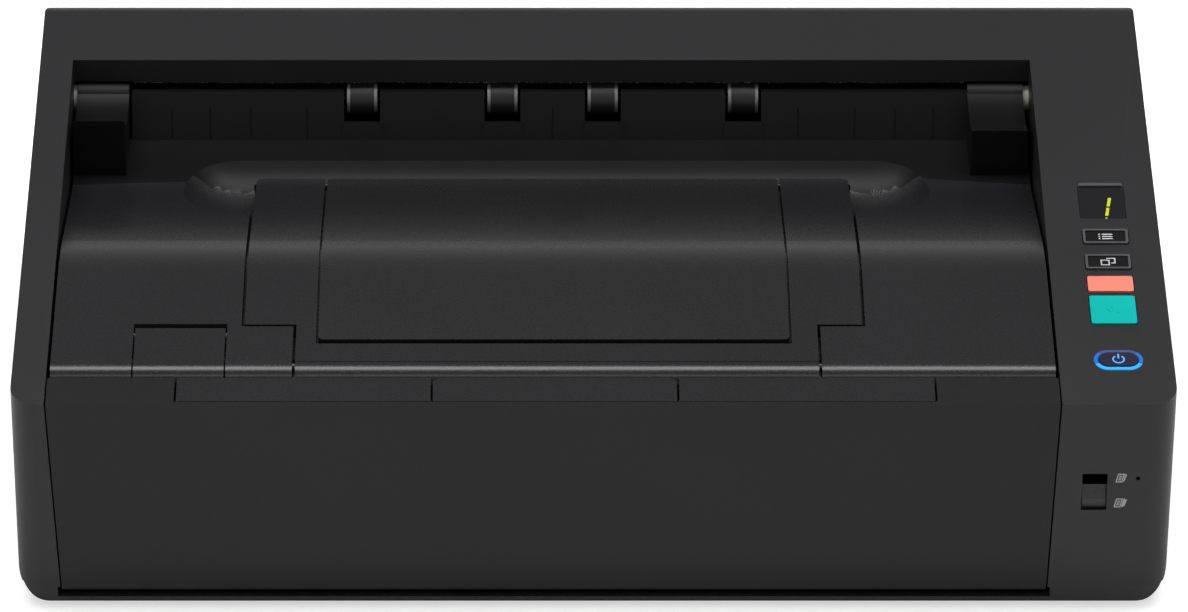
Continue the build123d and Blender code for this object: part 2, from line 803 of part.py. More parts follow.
def unit_cavity(x, start, depth, bottom):
    """Space under the upper unit's cover over the pair x."""
    with BuildSketch(Plane.YZ.offset(x[0])) as section:
        with BuildLine():
            low = min(valley_height - wall, valley_height - depth)
            rim = FilletPolyline(
                (start, arm_top(start) - depth),
                (crest_y, crest_z - depth),
                (valley_y, low),
                (front + valley_end - 0.5, low),
                radius=(crest_round - depth, valley_round),
            )
            Polyline(rim @ 1, (front + valley_end - 0.5, bottom), (start, bottom), rim @ 0)
        make_face()
    extrude(section.sketch, amount=x[1] - x[0])


def scoop(radius, mode=Mode.ADD):
    """Round-ended trough behind the eject tray."""
    y, z = front + scoop_reach, scoop_rise
    ends = (scoop_centre - scoop_half, scoop_centre + scoop_half)
    rod(radius, ends, y, z, mode)
    with Locations(*[(x, y, z) for x in ends]):
        Sphere(radius, mode=mode)


def lip_groove(x, width, depth, top):
    """Upright groove cut into the leaning front of the lip, from just above the valley."""
    bottom = valley_height + 0.6
    slant = lip_lean / (lip_height - valley_height)
    low_y = front + valley_end + (bottom - valley_height) * slant
    high_y = front + valley_end + (top - valley_height) * slant
    across(
        [(low_y - 1, bottom), (high_y - 1, top), (high_y + depth, top), (low_y + depth, bottom)],
        (x - width / 2, x + width / 2),
        Mode.SUBTRACT,
    )


# Upper unit's cover
deep_x = (tray_left - tray_gap - wall, tray_right + tray_gap + wall)
barrel_radius = tray_nose_radius + slide_gap
lever_pocket_end = front + lever_end + 1.2
lever_x = (lever_left - free_gap, lever_right + free_gap)
boss_width = 2.6
with BuildPart() as cover_cavity:
    unit_cavity((unit_left + wall, deep_x[0]), front + unit_front + wall, wall, 60)
    unit_cavity(deep_x, tray_hinge_y + barrel_radius + wall, tray_recess + wall, 60)
    unit_cavity((deep_x[1], unit_right - wall), front + unit_front + wall, wall, 60)
    scoop(scoop_radius + wall, Mode.SUBTRACT)

lip_top_y = front + valley_end + lip_lean
with BuildPart() as unit_cover:
    with BuildSketch(Plane.YZ.offset(unit_left)) as cover_section:
        with BuildLine():
            surface = FilletPolyline(
                (roll_top_y, arm_top(roll_top_y)),
                (crest_y, crest_z),
                (valley_y, valley_height),
                (front + valley_end + 2, valley_height),
                radius=(crest_round, valley_round),
            )
            Polyline(
                surface @ 1,
                (front + valley_end + 2, unit_skirt_bottom),
                (front + unit_front, unit_skirt_bottom),
                (front + unit_front, roll_z - roll_radius + 1),
                (roll_y, roll_z - roll_radius),
            )
            ThreePointArc((roll_y, roll_z - roll_radius), (roll_y - roll_radius, roll_z), surface @ 0)
        make_face()
    extrude(amount=unit_right - unit_left)
    add(cover_cavity.part, mode=Mode.SUBTRACT)
    for x in ((lever_x[0] - boss_width, lever_x[0]), (lever_x[1], lever_x[1] + boss_width)):
        across(
            [
                (front + 37, arm_top(front + 37) - 9), (front + 37, arm_top(front + 37) - 1),
                (front + 48, arm_top(front + 48) - 1), (front + 48, arm_top(front + 48) - 9),
            ],
            x,
        )
    block(lever_x, (front, lever_pocket_end), (roll_z - roll_radius + 2, crest_z), Mode.SUBTRACT)
    rod(tray_pin_radius + running_gap, (lever_x[0] - 2.3, lever_x[1] + 2.3),
        lever_hinge_y, lever_hinge_z, Mode.SUBTRACT)
    bar_x = (tray_bar_left - tray_gap, tray_bar_right + tray_gap)
    across(
        [
            (front + 10, arm_top(front + 10) - tray_recess), (front + 10, arm_top(front + 10) + 4),
            (front + tray_step + 5, arm_top(front + tray_step + 5) + 4),
            (front + tray_step + 5, arm_top(front + tray_step + 5) - tray_recess),
        ],
        bar_x,
        Mode.SUBTRACT,
    )
    band((tray_left - tray_gap, tray_right + tray_gap),
         (front + tray_step - tray_gap, front + tray_end + tray_gap), -4, tray_recess, Mode.SUBTRACT)
    rod(barrel_radius, bar_x, tray_hinge_y, tray_hinge_z, Mode.SUBTRACT)
    rod(tray_pin_radius + running_gap, (bar_x[0] - 3.5, bar_x[1] + 3.5),
        tray_hinge_y, tray_hinge_z, Mode.SUBTRACT)
    scoop(scoop_radius, Mode.SUBTRACT)
    across(
        [
            (front + valley_end, valley_height - 1),
            (front + valley_end, valley_height),
            (lip_top_y, lip_height),
            (lip_top_y + lip_thickness, lip_height),
            (front + valley_end + lip_thickness, valley_height),
            (front + valley_end + lip_thickness, valley_height - 1),
        ],
        (lip_left, lip_right),
    )
    rod(eject_shaft_radius + free_gap, (lip_left - 1, lip_right + 1), hinge_y, hinge_height, Mode.SUBTRACT)
    for offset in tyre_offsets:
        pocket_x = (path_centre + offset - slot_half, path_centre + offset + slot_half)
        rod(eject_radius + free_gap, pocket_x, hinge_y, hinge_height, Mode.SUBTRACT)
        block(pocket_x, (front + valley_end, lip_top_y + 4), (lip_pocket_bottom, lip_height + 1), Mode.SUBTRACT)
        for x in (pocket_x[0] - 0.9, pocket_x[1] + 0.9):
            lip_groove(x, 1.3, 0.4, lip_pocket_bottom)
    for offset in lip_groove_offsets:
        lip_groove(path_centre + offset, lip_groove_width, 0.8, lip_groove_top)
unit_cover.part.label = "unit_cover"
export_step(unit_cover.part, "parts/unit_cover.step")

# Hinge covers: round the hinge bushes, on the unit's cover
saddle_turn = radians(140)
saddle_end = (hinge_y + hinge_cover_radius * cos(saddle_turn),
              hinge_height + hinge_cover_radius * sin(saddle_turn))
for name, x, face_height in (
    ("hinge_cover_left", hinge_left, 108.6),
    ("hinge_cover_right", hinge_right, 104.4),
):
    with BuildPart() as hinge_cover:
        face_top = (front + hinge_cover_front, face_height)
        with BuildSketch(Plane.YZ.offset(x[0])) as saddle_section:
            with BuildLine():
                ThreePointArc(face_top, ((face_top[0] + saddle_end[0]) / 2, saddle_end[1] - 2.4), saddle_end)
                Polyline(
                    saddle_end,
                    (hinge_y, hinge_height),
                    (hinge_y, hinge_height - hinge_cover_radius),
                    (front + valley_end + 2, valley_height),
                    (front + hinge_cover_front, valley_height),
                    face_top,
                )
            make_face()
        extrude(amount=x[1] - x[0])
        rod(hinge_cover_radius, x, hinge_y, hinge_height)
        rod(hinge_bush_radius + running_gap, x, hinge_y, hinge_height, Mode.SUBTRACT)
    hinge_cover.part.label = name
    export_step(hinge_cover.part, f"parts/{name}.step")

# Open lever
with BuildPart() as open_lever:
    with BuildSketch(Plane.YZ.offset(lever_left)) as lever_section:
        with Locations((roll_y, roll_z)):
            Circle(roll_radius)
            Circle(roll_radius - lever_thickness, mode=Mode.SUBTRACT)
        with BuildLine():
            Polyline(
                (roll_y, roll_z - 3), (roll_y + 20, roll_z - 3), (roll_y + 20, roll_z - 20),
                (roll_y - 20, roll_z - 20), (roll_y - 20, roll_z - 3), close=True,
            )
        make_face(mode=Mode.SUBTRACT)
        with BuildLine():
            Polyline(
                (roll_y - 0.4, roll_z - 3.5), (roll_y - 0.4, roll_z + 3), (roll_y + 20, roll_z + 3),
                (roll_y + 20, roll_z - 3.5), close=True,
            )
        make_face(mode=Mode.SUBTRACT)
        with BuildLine():
            Polyline(
                (roll_top_y, arm_top(roll_top_y)),
                (front + lever_end - 1.3, arm_top(front + lever_end - 1.3)),
                (front + lever_end, arm_top(front + lever_end) - 1.7),
                (front + lever_end, arm_top(front + lever_end) - lever_thickness),
                (roll_top_y, arm_top(roll_top_y) - lever_thickness),
                close=True,
            )
        make_face()
        with Locations((lever_hinge_y, lever_hinge_z)):
            Circle(lever_hinge_depth)
    extrude(amount=lever_right - lever_left)
    rod(tray_pin_radius, (lever_left - 2.4, lever_right + 2.4), lever_hinge_y, lever_hinge_z)
open_lever.part.label = "open_lever"
export_step(open_lever.part, "parts/open_lever.step")

# Latch shaft with a hook at each end
hook_width = 3.0
hook_x = (
    (unit_left + wall + 0.5, unit_left + wall + 0.5 + hook_width),
    (unit_right - wall - 0.5 - hook_width, unit_right - wall - 0.5),
)
hook_front = stud_reach - stud_radius - 4.4
with BuildPart() as latch_shaft:
    rod(latch_shaft_radius, (hook_x[0][0], hook_x[1][1]), front + latch_reach, latch_height)
    for x in hook_x:
        rod(5, x, front + latch_reach, latch_height)
        across(
            [
                (front + latch_reach, latch_height - 5),
                (front + latch_reach, latch_height + 3),
                (front + hook_front + 1, stud_height + 10),
                (front + hook_front, stud_height + 6),
                (front + hook_front, stud_height - 7),
                (front + stud_reach - stud_radius - 0.4, stud_height - 4),
                (front + stud_reach - stud_radius - 0.4, stud_height - 3),
                (front + hook_front + 3, stud_height - 2),
                (front + hook_front + 3, stud_height + 5),
            ],
            x,
        )
latch_shaft.part.label = "latch_shaft"
export_step(latch_shaft.part, "parts/latch_shaft.step")

# Eject tray: U-shaped plate with a thin floor under the folding extension
with BuildPart() as eject_tray:
    tray_x = (tray_left, tray_right)
    band(tray_x, (tray_hinge_y, front + tray_end), 0, tray_thickness)
    with BuildSketch() as tray_plan:
        with Locations(((tray_left + tray_right) / 2, front + (tray_step + tray_end) / 2)):
            Rectangle(tray_right - tray_left, tray_end - tray_step)
        fillet(tray_plan.vertices().group_by(Axis.Y)[-1], tray_corner)
        with Locations(((tray_bar_left + tray_bar_right) / 2, front + tray_step / 2 + 1)):
            Rectangle(tray_bar_right - tray_bar_left, tray_step + 2)
    extrude(tray_plan.sketch, amount=crest_z + 20, mode=Mode.INTERSECT)
    with BuildSketch(Plane.YZ.offset(tray_bar_left)) as nose_section:
        with Locations((roll_y, roll_z)):
            Circle(roll_radius)
        with Locations((tray_hinge_y, tray_hinge_z)):
            Circle(tray_nose_radius, mode=Mode.INTERSECT)
    extrude(nose_section.sketch, amount=tray_bar_right - tray_bar_left)
    pocket_x = (extension_left - extension_gap, extension_right + extension_gap)
    pocket_start = front + extension_front - extension_front_gap
    band(pocket_x, (pocket_start, front + tray_end + 1), -3, tray_thickness - tray_floor, Mode.SUBTRACT)
    block(pocket_x, (extension_hinge_y - extension_knuckle - 0.9, front + tray_end + 1),
          (valley_height - 15, valley_height + 5), Mode.SUBTRACT)
    pin_x = (tray_bar_left - tray_gap - 3, tray_bar_right + tray_gap + 3)
    rod(tray_pin_radius, pin_x, tray_hinge_y, tray_hinge_z)
    rod(extension_pin_radius + running_gap, (pocket_x[0] - 3.5, pocket_x[1] + 3.5),
        extension_hinge_y, extension_hinge_z, Mode.SUBTRACT)
eject_tray.part.label = "eject_tray"
export_step(eject_tray.part, "parts/eject_tray.step")

with BuildPart() as eject_extension:
    extension_x = (extension_left, extension_right)
    band(extension_x, (front + extension_front, front + tray_end), 0, extension_thickness)
    with BuildSketch() as extension_plan:
        with Locations(
            ((extension_left + extension_right) / 2, front + (extension_front + tray_end) / 2)
        ):
            RectangleRounded(
                extension_right - extension_left, tray_end - extension_front, tray_corner - 1
            )
    extrude(extension_plan.sketch, amount=crest_z + 20, mode=Mode.INTERSECT)
    rod(extension_knuckle, extension_x, extension_hinge_y, extension_hinge_z)
    rod(extension_pin_radius, (pocket_x[0] - 3, pocket_x[1] + 3), extension_hinge_y, extension_hinge_z)
eject_extension.part.label = "eject_extension"
export_step(eject_extension.part, "parts/eject_extension.step")

# Feed tray: front panel, side walls and inner floor, hinged at the bottom
inset_left, inset_right = well_left + free_gap, well_right - free_gap
strip_top = arm_top(front + strip_reach)
pocket_bottom = 16.0
slot_z = (rack_middle - 2.0, rack_middle + 2.0)
stem_half = 3.0
fence_x = (path_centre - fence_half, path_centre + fence_half)
with BuildPart() as feed_tray:
    across(
        [
            (front, panel_bottom), (front, front_height),
            (front + panel_thickness, arm_top(front + panel_thickness)),
            (front + panel_thickness, panel_bottom),
        ],
        (inset_left, inset_right),
    )
    block((inset_left, inset_right), (front, front + tray_floor_layer + tray_floor_plate),
          (panel_bottom, pocket_bottom - slide_gap))
    block((inset_left, inset_right),
          (front + tray_floor_layer, front + tray_floor_layer + tray_floor_plate),
          (panel_bottom, front_height - 5))
    for x in ((inset_left, outer_left - strip_gap), (outer_right + strip_gap, inset_right)):
        across(
            [
                (front, front_height), (front + strip_reach, strip_top),
                (front + strip_reach, strip_top - strip_thickness),
                (front, front_height - strip_thickness),
            ],
            x,
        )
    for x in ((inset_left, inset_left + 7), (inset_right - 6, inset_right)):
        block(x, (front, front + tray_floor_layer + tray_floor_plate), (panel_bottom, front_height - 1))
    with BuildSketch(Plane.XZ.offset(-(front + 20))) as tray_front:
        with BuildLine():
            Polyline(
                (inset_left, 2 * front_height),
                (inset_right, 2 * front_height),
                (inset_right, front_height),
                (inset_right - panel_taper_right, parting_height),
                (inset_right - panel_taper_right, 0),
                (inset_left + panel_taper_left, 0),
                (inset_left + panel_taper_left, parting_height),
                (inset_left, front_height),
                close=True,
            )
        make_face()
    extrude(tray_front.sketch, amount=21, mode=Mode.INTERSECT)
    lowest = feed_tray.edges().filter_by(Axis.X).group_by(Axis.Z)[0]
    fillet(lowest.sort_by(Axis.Y)[0], panel_bottom_round)
    block((outer_left - strip_gap, outer_right + strip_gap), (front + panel_edge, front + strip_reach + 1),
          (strip_top - strip_thickness - 5, strip_top + 3), Mode.SUBTRACT)
    for side, x in zip((1, -1), fence_x):
        start = x - side * (stem_half + slide_gap + fence_thickness)
        end = x + side * (fence_travel + stem_half + slide_gap)
        block(sorted((start, end)), (front + tray_floor_layer - 1, front + strip_reach), slot_z,
              Mode.SUBTRACT)
    with Locations((path_centre, front + (rack_layer + tray_floor_layer) / 2, rack_middle)):
        Cylinder(2.0, tray_floor_layer - rack_layer + 0.4, rotation=(90, 0, 0))
    for x in (
        (well_left - 2, well_left + 10), (well_right - 9, well_right + 2),
    ):
        rod(feed_pin_radius, x, front + feed_hinge_reach, feed_hinge_height)
feed_tray.part.label = "feed_tray"
export_step(feed_tray.part, "parts/feed_tray.step")

# Extensions that pull up out of the feed tray, one inside the other
tip_gap = 0.5
outer_bottom = pocket_bottom
tip_bottom = 24.0
flange_z = strip_top - strip_thickness - 1.2


def top_flange(x):
    """Part of the top strip that an extension carries over the pair x."""
    start = front + panel_edge + nip_gap
    across(
        [
            (start, arm_top(start)), (front + strip_reach, strip_top),
            (front + strip_reach, strip_top - strip_thickness),
            (start, arm_top(start) - strip_thickness),
        ],
        x,
    )


plate_y = (front + extension_layer, front + extension_layer + extension_plate)
with BuildPart() as tray_extension:
    block((outer_left, outer_right), plate_y, (outer_bottom, flange_z))
    for x in ((outer_left, tip_left - strip_gap), (tip_right + strip_gap, outer_right)):
        top_flange(x)
    block((tip_left - tip_gap, tip_right + tip_gap), (front, front + strip_reach + 1),
          (tip_bottom - 2, strip_top + 3), Mode.SUBTRACT)
tray_extension.part.label = "tray_extension"
export_step(tray_extension.part, "parts/tray_extension.step")

with BuildPart() as tip_extension:
    block((tip_left, tip_right), plate_y, (tip_bottom, flange_z))
    top_flange((tip_left, tip_right))
    rear_edges = tip_extension.edges().filter_by(Axis.Z).group_by(Axis.Y)[-1]
    fillet(rear_edges, tray_corner)
tip_extension.part.label = "tip_extension"
export_step(tip_extension.part, "parts/tip_extension.step")

# Paper guides with racks, turned by one pinion so that they keep the paper central
rack_pitch = pi * gear_module
rack_gear = gear_module * rack_pinion_teeth / 2
rack_y = (front + rack_layer, front + rack_layer + rack_plate)
rack_reach = 8.0
for name, side, fence in (("guide_left", 1, fence_x[0]), ("guide_right", -1, fence_x[1])):
    tooth_z = rack_middle - side * rack_gear
    with BuildPart() as paper_guide:
        floor_y = front + tray_floor_layer + tray_floor_plate + slide_gap
        block(sorted((fence, fence - side * fence_thickness)), (floor_y, floor_y + fence_depth),
              (fence_bottom, fence_top))
        block(sorted((fence, fence - side * 14)), (floor_y, floor_y + 1.4), (fence_bottom, fence_top))
        stem = fence - side * fence_thickness
        block((stem - stem_half, stem + stem_half), (rack_y[0], floor_y + 0.5),
              (slot_z[0] + slide_gap, slot_z[1] - slide_gap))
        block((stem - stem_half, stem + stem_half), rack_y,
              sorted((rack_middle + side * 1.6, tooth_z - side * 4)))
        ends = (stem, path_centre + side * rack_reach)
        block(sorted(ends), rack_y, sorted((tooth_z - side * 0.9, tooth_z - side * 4)))
        tooth_count = int(abs(ends[1] - ends[0]) / rack_pitch) - 1
        with BuildSketch(Plane.XZ.offset(-rack_y[1])) as rack_teeth:
            for tooth in range(tooth_count):
                middle = path_centre + side * (rack_reach - rack_pitch * (tooth + 0.7))
                middle = path_centre + rack_pitch * (round((middle - path_centre) / rack_pitch - 0.5) + 0.5)
                with BuildLine():
                    Polyline(
                        (middle - 0.30 * rack_pitch, tooth_z - side * 1.0),
                        (middle - 0.12 * rack_pitch, tooth_z + side * 0.85 * gear_module),
                        (middle + 0.12 * rack_pitch, tooth_z + side * 0.85 * gear_module),
                        (middle + 0.30 * rack_pitch, tooth_z - side * 1.0),
                        close=True,
                    )
                make_face()
        extrude(rack_teeth.sketch, amount=rack_plate)
    paper_guide.part.label = name
    export_step(paper_guide.part, f"parts/{name}.step")

with BuildPart() as guide_pinion:
    with BuildSketch(Plane.XZ.offset(-(rack_y[1] - 0.1))) as pinion_face:
        root, tip = rack_gear - 1.15 * gear_module, rack_gear + 0.85 * gear_module
        points = []
        for tooth in range(rack_pinion_teeth):
            for share, radius in ((-0.30, root), (-0.12, tip), (0.12, tip), (0.30, root)):
                angle = pi / 2 + 2 * pi * (tooth + share) / rack_pinion_teeth
                points.append((path_centre + radius * cos(angle), rack_middle + radius * sin(angle)))
        with BuildLine():
            Polyline(*points, close=True)
        make_face()
        with Locations((path_centre, rack_middle)):
            Circle(2.0 + running_gap, mode=Mode.SUBTRACT)
    extrude(amount=rack_plate - 0.2)
guide_pinion.part.label = "guide_pinion"
export_step(guide_pinion.part, "parts/guide_pinion.step")

# Rollers of the lower path
feed_gear_turn = feed_pinion_angle + 180 / feed_gear_teeth
with BuildPart() as feed_roller:
    rod(shaft_radius, (shaft_left, shaft_right), front + feed_reach, feed_height)
    rod(feed_radius, (path_centre - feed_width / 2, path_centre + feed_width / 2),
        front + feed_reach, feed_height)
    gear(feed_gear_teeth, (belt_start, belt_start + belt_width), front + feed_reach, feed_height,
         feed_gear_turn)
feed_roller.part.label = "feed_roller"
export_step(feed_roller.part, "parts/feed_roller.step")

for name, reach in (("registration_roller", registration_reach), ("transport_roller", transport_reach)):
    with BuildPart() as drive_roller:
        rod(shaft_radius, (shaft_left, shaft_right), front + reach, drive_z)
        for offset in tyre_offsets:
            x = (path_centre + offset - tyre_width / 2, path_centre + offset + tyre_width / 2)
            rod(drive_radius, x, front + reach, drive_z)
        rod(pulley_radius, (belt_start - 0.6, belt_start + belt_width + 0.6), front + reach, drive_z)
    drive_roller.part.label = name
    export_step(drive_roller.part, f"parts/{name}.step")

# Rollers of the upper unit
for name, reach in (("registration_pinch", registration_reach), ("transport_pinch", transport_reach)):
    with BuildPart() as pinch_roller:
        rod(pinch_shaft_radius, (cheek_left - 1, cheek_right + 1), front + reach, pinch_z)
        for offset in tyre_offsets:
            x = (path_centre + offset - tyre_width / 2, path_centre + offset + tyre_width / 2)
            rod(pinch_radius, x, front + reach, pinch_z)
    pinch_roller.part.label = name
    export_step(pinch_roller.part, f"parts/{name}.step")

with BuildPart() as retard_roller:
    rod(retard_radius, (path_centre - feed_width / 2, path_centre + feed_width / 2), retard_y, retard_z)
    rod(shaft_radius, (path_centre - rib_half - 4, path_centre + rib_half + 4), retard_y, retard_z)
retard_roller.part.label = "retard_roller"
export_step(retard_roller.part, "parts/retard_roller.step")

# Eject rollers: driven shaft in the hinge, tyres in the lip, pinch roller under the bezel
with BuildPart() as eject_shaft:
    rod(eject_shaft_radius, (shaft_left, axle_end), hinge_y, hinge_height)
    gear(eject_teeth, (gear_start, gear_start + gear_width), hinge_y, hinge_height,
         idler_angle + 180 / eject_teeth)
eject_shaft.part.label = "eject_shaft"
export_step(eject_shaft.part, "parts/eject_shaft.step")

with BuildPart() as eject_tyres:
    for offset in tyre_offsets:
        x = (path_centre + offset - tyre_width / 2, path_centre + offset + tyre_width / 2)
        rod(eject_radius - eject_rim_step, x, hinge_y, hinge_height)
        rod(eject_radius, (x[0] + eject_rim, x[1] - eject_rim), hinge_y, hinge_height)
    rod(eject_shaft_radius, (left, right), hinge_y, hinge_height, Mode.SUBTRACT)
eject_tyres.part.label = "eject_tyres"
export_step(eject_tyres.part, "parts/eject_tyres.step")

with BuildPart() as eject_pinch:
    rod(eject_pinch_shaft_radius, (path_centre - 97, path_centre + 97), eject_pinch_y, eject_pinch_z)
    for offset in tyre_offsets:
        x = (path_centre + offset - tyre_width / 2, path_centre + offset + tyre_width / 2)
        rod(eject_pinch_radius, x, eject_pinch_y, eject_pinch_z)
eject_pinch.part.label = "eject_pinch"
export_step(eject_pinch.part, "parts/eject_pinch.step")

bracket_start, bracket_end = front + 218, front + 234
bracket_plate = 1.5
with BuildPart() as eject_pinch_bracket:
    underside = wall / cos(radians(top_slope))
    across(
        [
            (bracket_start, arm_top(bracket_start) - underside),
            (bracket_end, arm_top(bracket_end) - underside),
            (bracket_end, arm_top(bracket_end) - underside - bracket_plate),
            (bracket_start, arm_top(bracket_start) - underside - bracket_plate),
        ],
        (path_centre - 100, path_centre + 100),
    )
    for offset in (-95, -46, 0, 46, 95):
        across(
            [
                (eject_pinch_y - 2.6, eject_pinch_z - 1.8),
                (eject_pinch_y - 2.6, eject_pinch_z + 3),
                (bracket_start, arm_top(bracket_start) - underside),
                (bracket_start + 4, arm_top(bracket_start) - underside - 1),
                (eject_pinch_y + 2.6, eject_pinch_z - 1.8),
            ],
            (path_centre + offset - 0.8, path_centre + offset + 0.8),
        )
    rod(eject_pinch_shaft_radius + running_gap, (left, right), eject_pinch_y, eject_pinch_z, Mode.SUBTRACT)
eject_pinch_bracket.part.label = "eject_pinch_bracket"
export_step(eject_pinch_bracket.part, "parts/eject_pinch_bracket.step")

# Drive: motors inside the right frame, belt and gears outside it
for name, radius, y, z in (
    ("drive_motor", motor_radius, front + motor_reach, motor_height),
    ("feed_motor", feed_motor_radius, pinion_y, pinion_z),
):
    with BuildPart() as motor:
        rod(radius, (frame_right - motor_length, frame_right), y, z)
        rod(motor_shaft_radius + running_gap, (frame_right - 10, frame_right + 1), y, z, Mode.SUBTRACT)
    motor.part.label = name
    export_step(motor.part, f"parts/{name}.step")

with BuildPart() as drive_pulley:
    rod(motor_pulley_radius, (belt_start - 0.6, belt_start + belt_width + 0.6),
        front + motor_reach, motor_height)
    rod(motor_shaft_radius, (frame_right - 9, belt_start + 1), front + motor_reach, motor_height)
drive_pulley.part.label = "drive_pulley"
export_step(drive_pulley.part, "parts/drive_pulley.step")

with BuildPart() as feed_pinion:
    gear(feed_pinion_teeth, (belt_start, belt_start + belt_width), pinion_y, pinion_z,
         feed_pinion_angle + 180)
    rod(motor_shaft_radius, (frame_right - 9, belt_start + 1), pinion_y, pinion_z)
feed_pinion.part.label = "feed_pinion"
export_step(feed_pinion.part, "parts/feed_pinion.step")

with BuildPart() as idler_gear:
    rod(pulley_radius, (belt_start - 0.6, gear_start), idler_y, idler_z)
    gear(idler_teeth, (gear_start, gear_start + gear_width), idler_y, idler_z, idler_angle - 180)
    rod(shaft_radius + running_gap, (belt_start - 1, axle_end + 1), idler_y, idler_z, Mode.SUBTRACT)
idler_gear.part.label = "idler_gear"
export_step(idler_gear.part, "parts/idler_gear.step")

pulleys = (
    (pulley_radius, front + registration_reach, drive_z),
    (motor_pulley_radius, front + motor_reach, motor_height),
    (pulley_radius, front + transport_reach, drive_z),
    (pulley_radius, idler_y, idler_z),
)
with BuildPart() as timing_belt:
    for outward, mode in ((nip_gap + belt_thickness, Mode.ADD), (nip_gap, Mode.SUBTRACT)):
        with BuildSketch(Plane.YZ.offset(belt_start)) as loop:
            for radius, y, z in pulleys:
                with Locations((y, z)):
                    Circle(radius + outward)
            make_hull()
        extrude(loop.sketch, amount=belt_width, mode=mode)
timing_belt.part.label = "timing_belt"
export_step(timing_belt.part, "parts/timing_belt.step")

# Antistatic brush under the bezel: strip with hanging fibres
strand_pitch = 1.0
strand_side = 0.4
strand_length = 1.2
brush_backing = 0.4
brush_y = front + bezel_front + bezel_wall / 2
brush_middle = (lip_left + lip_right) / 2
brush_length = lip_right - lip_left - 2
with BuildPart() as antistatic_brush:
    block((lip_left + 1, lip_right - 1), (brush_y - 0.7, brush_y + 0.7),
          (bezel_wall_bottom - brush_backing, bezel_wall_bottom))
    with BuildSketch(Plane.XY.offset(bezel_wall_bottom - strand_length)) as strands:
        with Locations((brush_middle, brush_y)):
            with GridLocations(strand_pitch, 1, int(brush_length / strand_pitch), 1):
                Rectangle(strand_side, strand_side)
    extrude(strands.sketch, amount=strand_length - brush_backing / 2)
antistatic_brush.part.label = "antistatic_brush"
export_step(antistatic_brush.part, "parts/antistatic_brush.step")

# Rear cover with its vents and the holes for the ports
port_height = 26.0
inlet_x, usb_x, lock_x = 140.0, 112.0, -150.0
board_y = front + 232.0
cover_gap = 0.3
with BuildPart() as rear_cover:
    block((rear_opening[0] + cover_gap, rear_opening[1] - cover_gap), (back - wall, back),
          (rear_opening_z[0] + cover_gap, rear_opening_z[1] - cover_gap))
    with BuildSketch(Plane.XZ.offset(-back)) as vents:
        with Locations((0, 50)):
            with GridLocations(7.0, 0, 18, 1):
                SlotOverall(22, 3.0, rotation=90)
        with Locations((inlet_x, port_height)):
            Circle(4.2)
        with Locations((usb_x, port_height)):
            Rectangle(12.6, 11.6)
        with Locations((lock_x, port_height)):
            RectangleRounded(7.0, 3.2, 1.0)
    extrude(vents.sketch, amount=2 * wall, both=True, mode=Mode.SUBTRACT)
    with BuildSketch(Plane.XZ.offset(-(back - wall))) as posts:
        with Locations(*[(x, z) for x in (34, 156) for z in (18, 66)]):
            Circle(3.0)
    extrude(posts.sketch, amount=back - wall - board_y - board_thickness)
rear_cover.part.label = "rear_cover"
export_step(rear_cover.part, "parts/rear_cover.step")

with BuildPart() as main_board:
    block((28, 162), (board_y, board_y + board_thickness), (14.5, 72))
    block((60, 90), (board_y - 3, board_y), (36, 60))
main_board.part.label = "main_board"
export_step(main_board.part, "parts/main_board.step")

port_y = (board_y + board_thickness, back - 0.4)
with BuildPart() as dc_inlet:
    block((inlet_x - 5, inlet_x + 5), (port_y[0], back - wall - cover_gap), (port_height - 5.5, port_height + 5.5))
    with Locations((inlet_x, (port_y[0] + port_y[1]) / 2, port_height)):
        Cylinder(3.8, port_y[1] - port_y[0], rotation=(90, 0, 0))
    with Locations((inlet_x, port_y[1], port_height)):
        Cylinder(2.75, 18, rotation=(90, 0, 0), mode=Mode.SUBTRACT)
    with Locations((inlet_x, port_y[0] + 4, port_height)):
        Cylinder(1.0, 8, rotation=(90, 0, 0))
dc_inlet.part.label = "dc_inlet"
export_step(dc_inlet.part, "parts/dc_inlet.step")

with BuildPart() as usb_port:
    block((usb_x - 6, usb_x + 6), port_y, (port_height - 5.5, port_height + 5.5))
    block((usb_x - 4.6, usb_x + 4.6), (port_y[1] - 9, port_y[1] + 1),
          (port_height - 4.1, port_height + 4.1), Mode.SUBTRACT)
    block((usb_x - 2.8, usb_x + 2.8), (port_y[1] - 9.5, port_y[1] - 1.5),
          (port_height - 1.6, port_height + 1.6))
usb_port.part.label = "usb_port"
export_step(usb_port.part, "parts/usb_port.step")

# Control panel: window, keys and the board below them
with BuildPart() as display_window:
    with BuildSketch(arm_plane) as window_face:
        with Locations((control_x, (display_start + display_end) / 2)):
            RectangleRounded(control_width - 0.3, display_end - display_start - 0.3, 1.0)
    extrude(window_face.sketch, amount=-1.3)
    with BuildSketch(arm_plane) as window_lip:
        with Locations((control_x, display_end - 1.1)):
            RectangleRounded(control_width - 1.4, 1.5, 0.5)
    extrude(window_lip.sketch, amount=0.6)
display_window.part.label = "display_window"
export_step(display_window.part, "parts/display_window.step")

with BuildPart() as panel_board:
    with BuildSketch(arm_plane.offset(-board_depth)) as board_face:
        with Locations((control_x, (board_start + board_end) / 2)):
            Rectangle(30, board_end - board_start)
    extrude(board_face.sketch, amount=-board_thickness)
    with BuildSketch(arm_plane.offset(-board_depth)) as module_face:
        with Locations((control_x, (display_start + display_end) / 2)):
            Rectangle(control_width - 2, display_end - display_start - 2)
    extrude(module_face.sketch, amount=board_depth - wall - 0.4)
panel_board.part.label = "panel_board"
export_step(panel_board.part, "parts/panel_board.step")

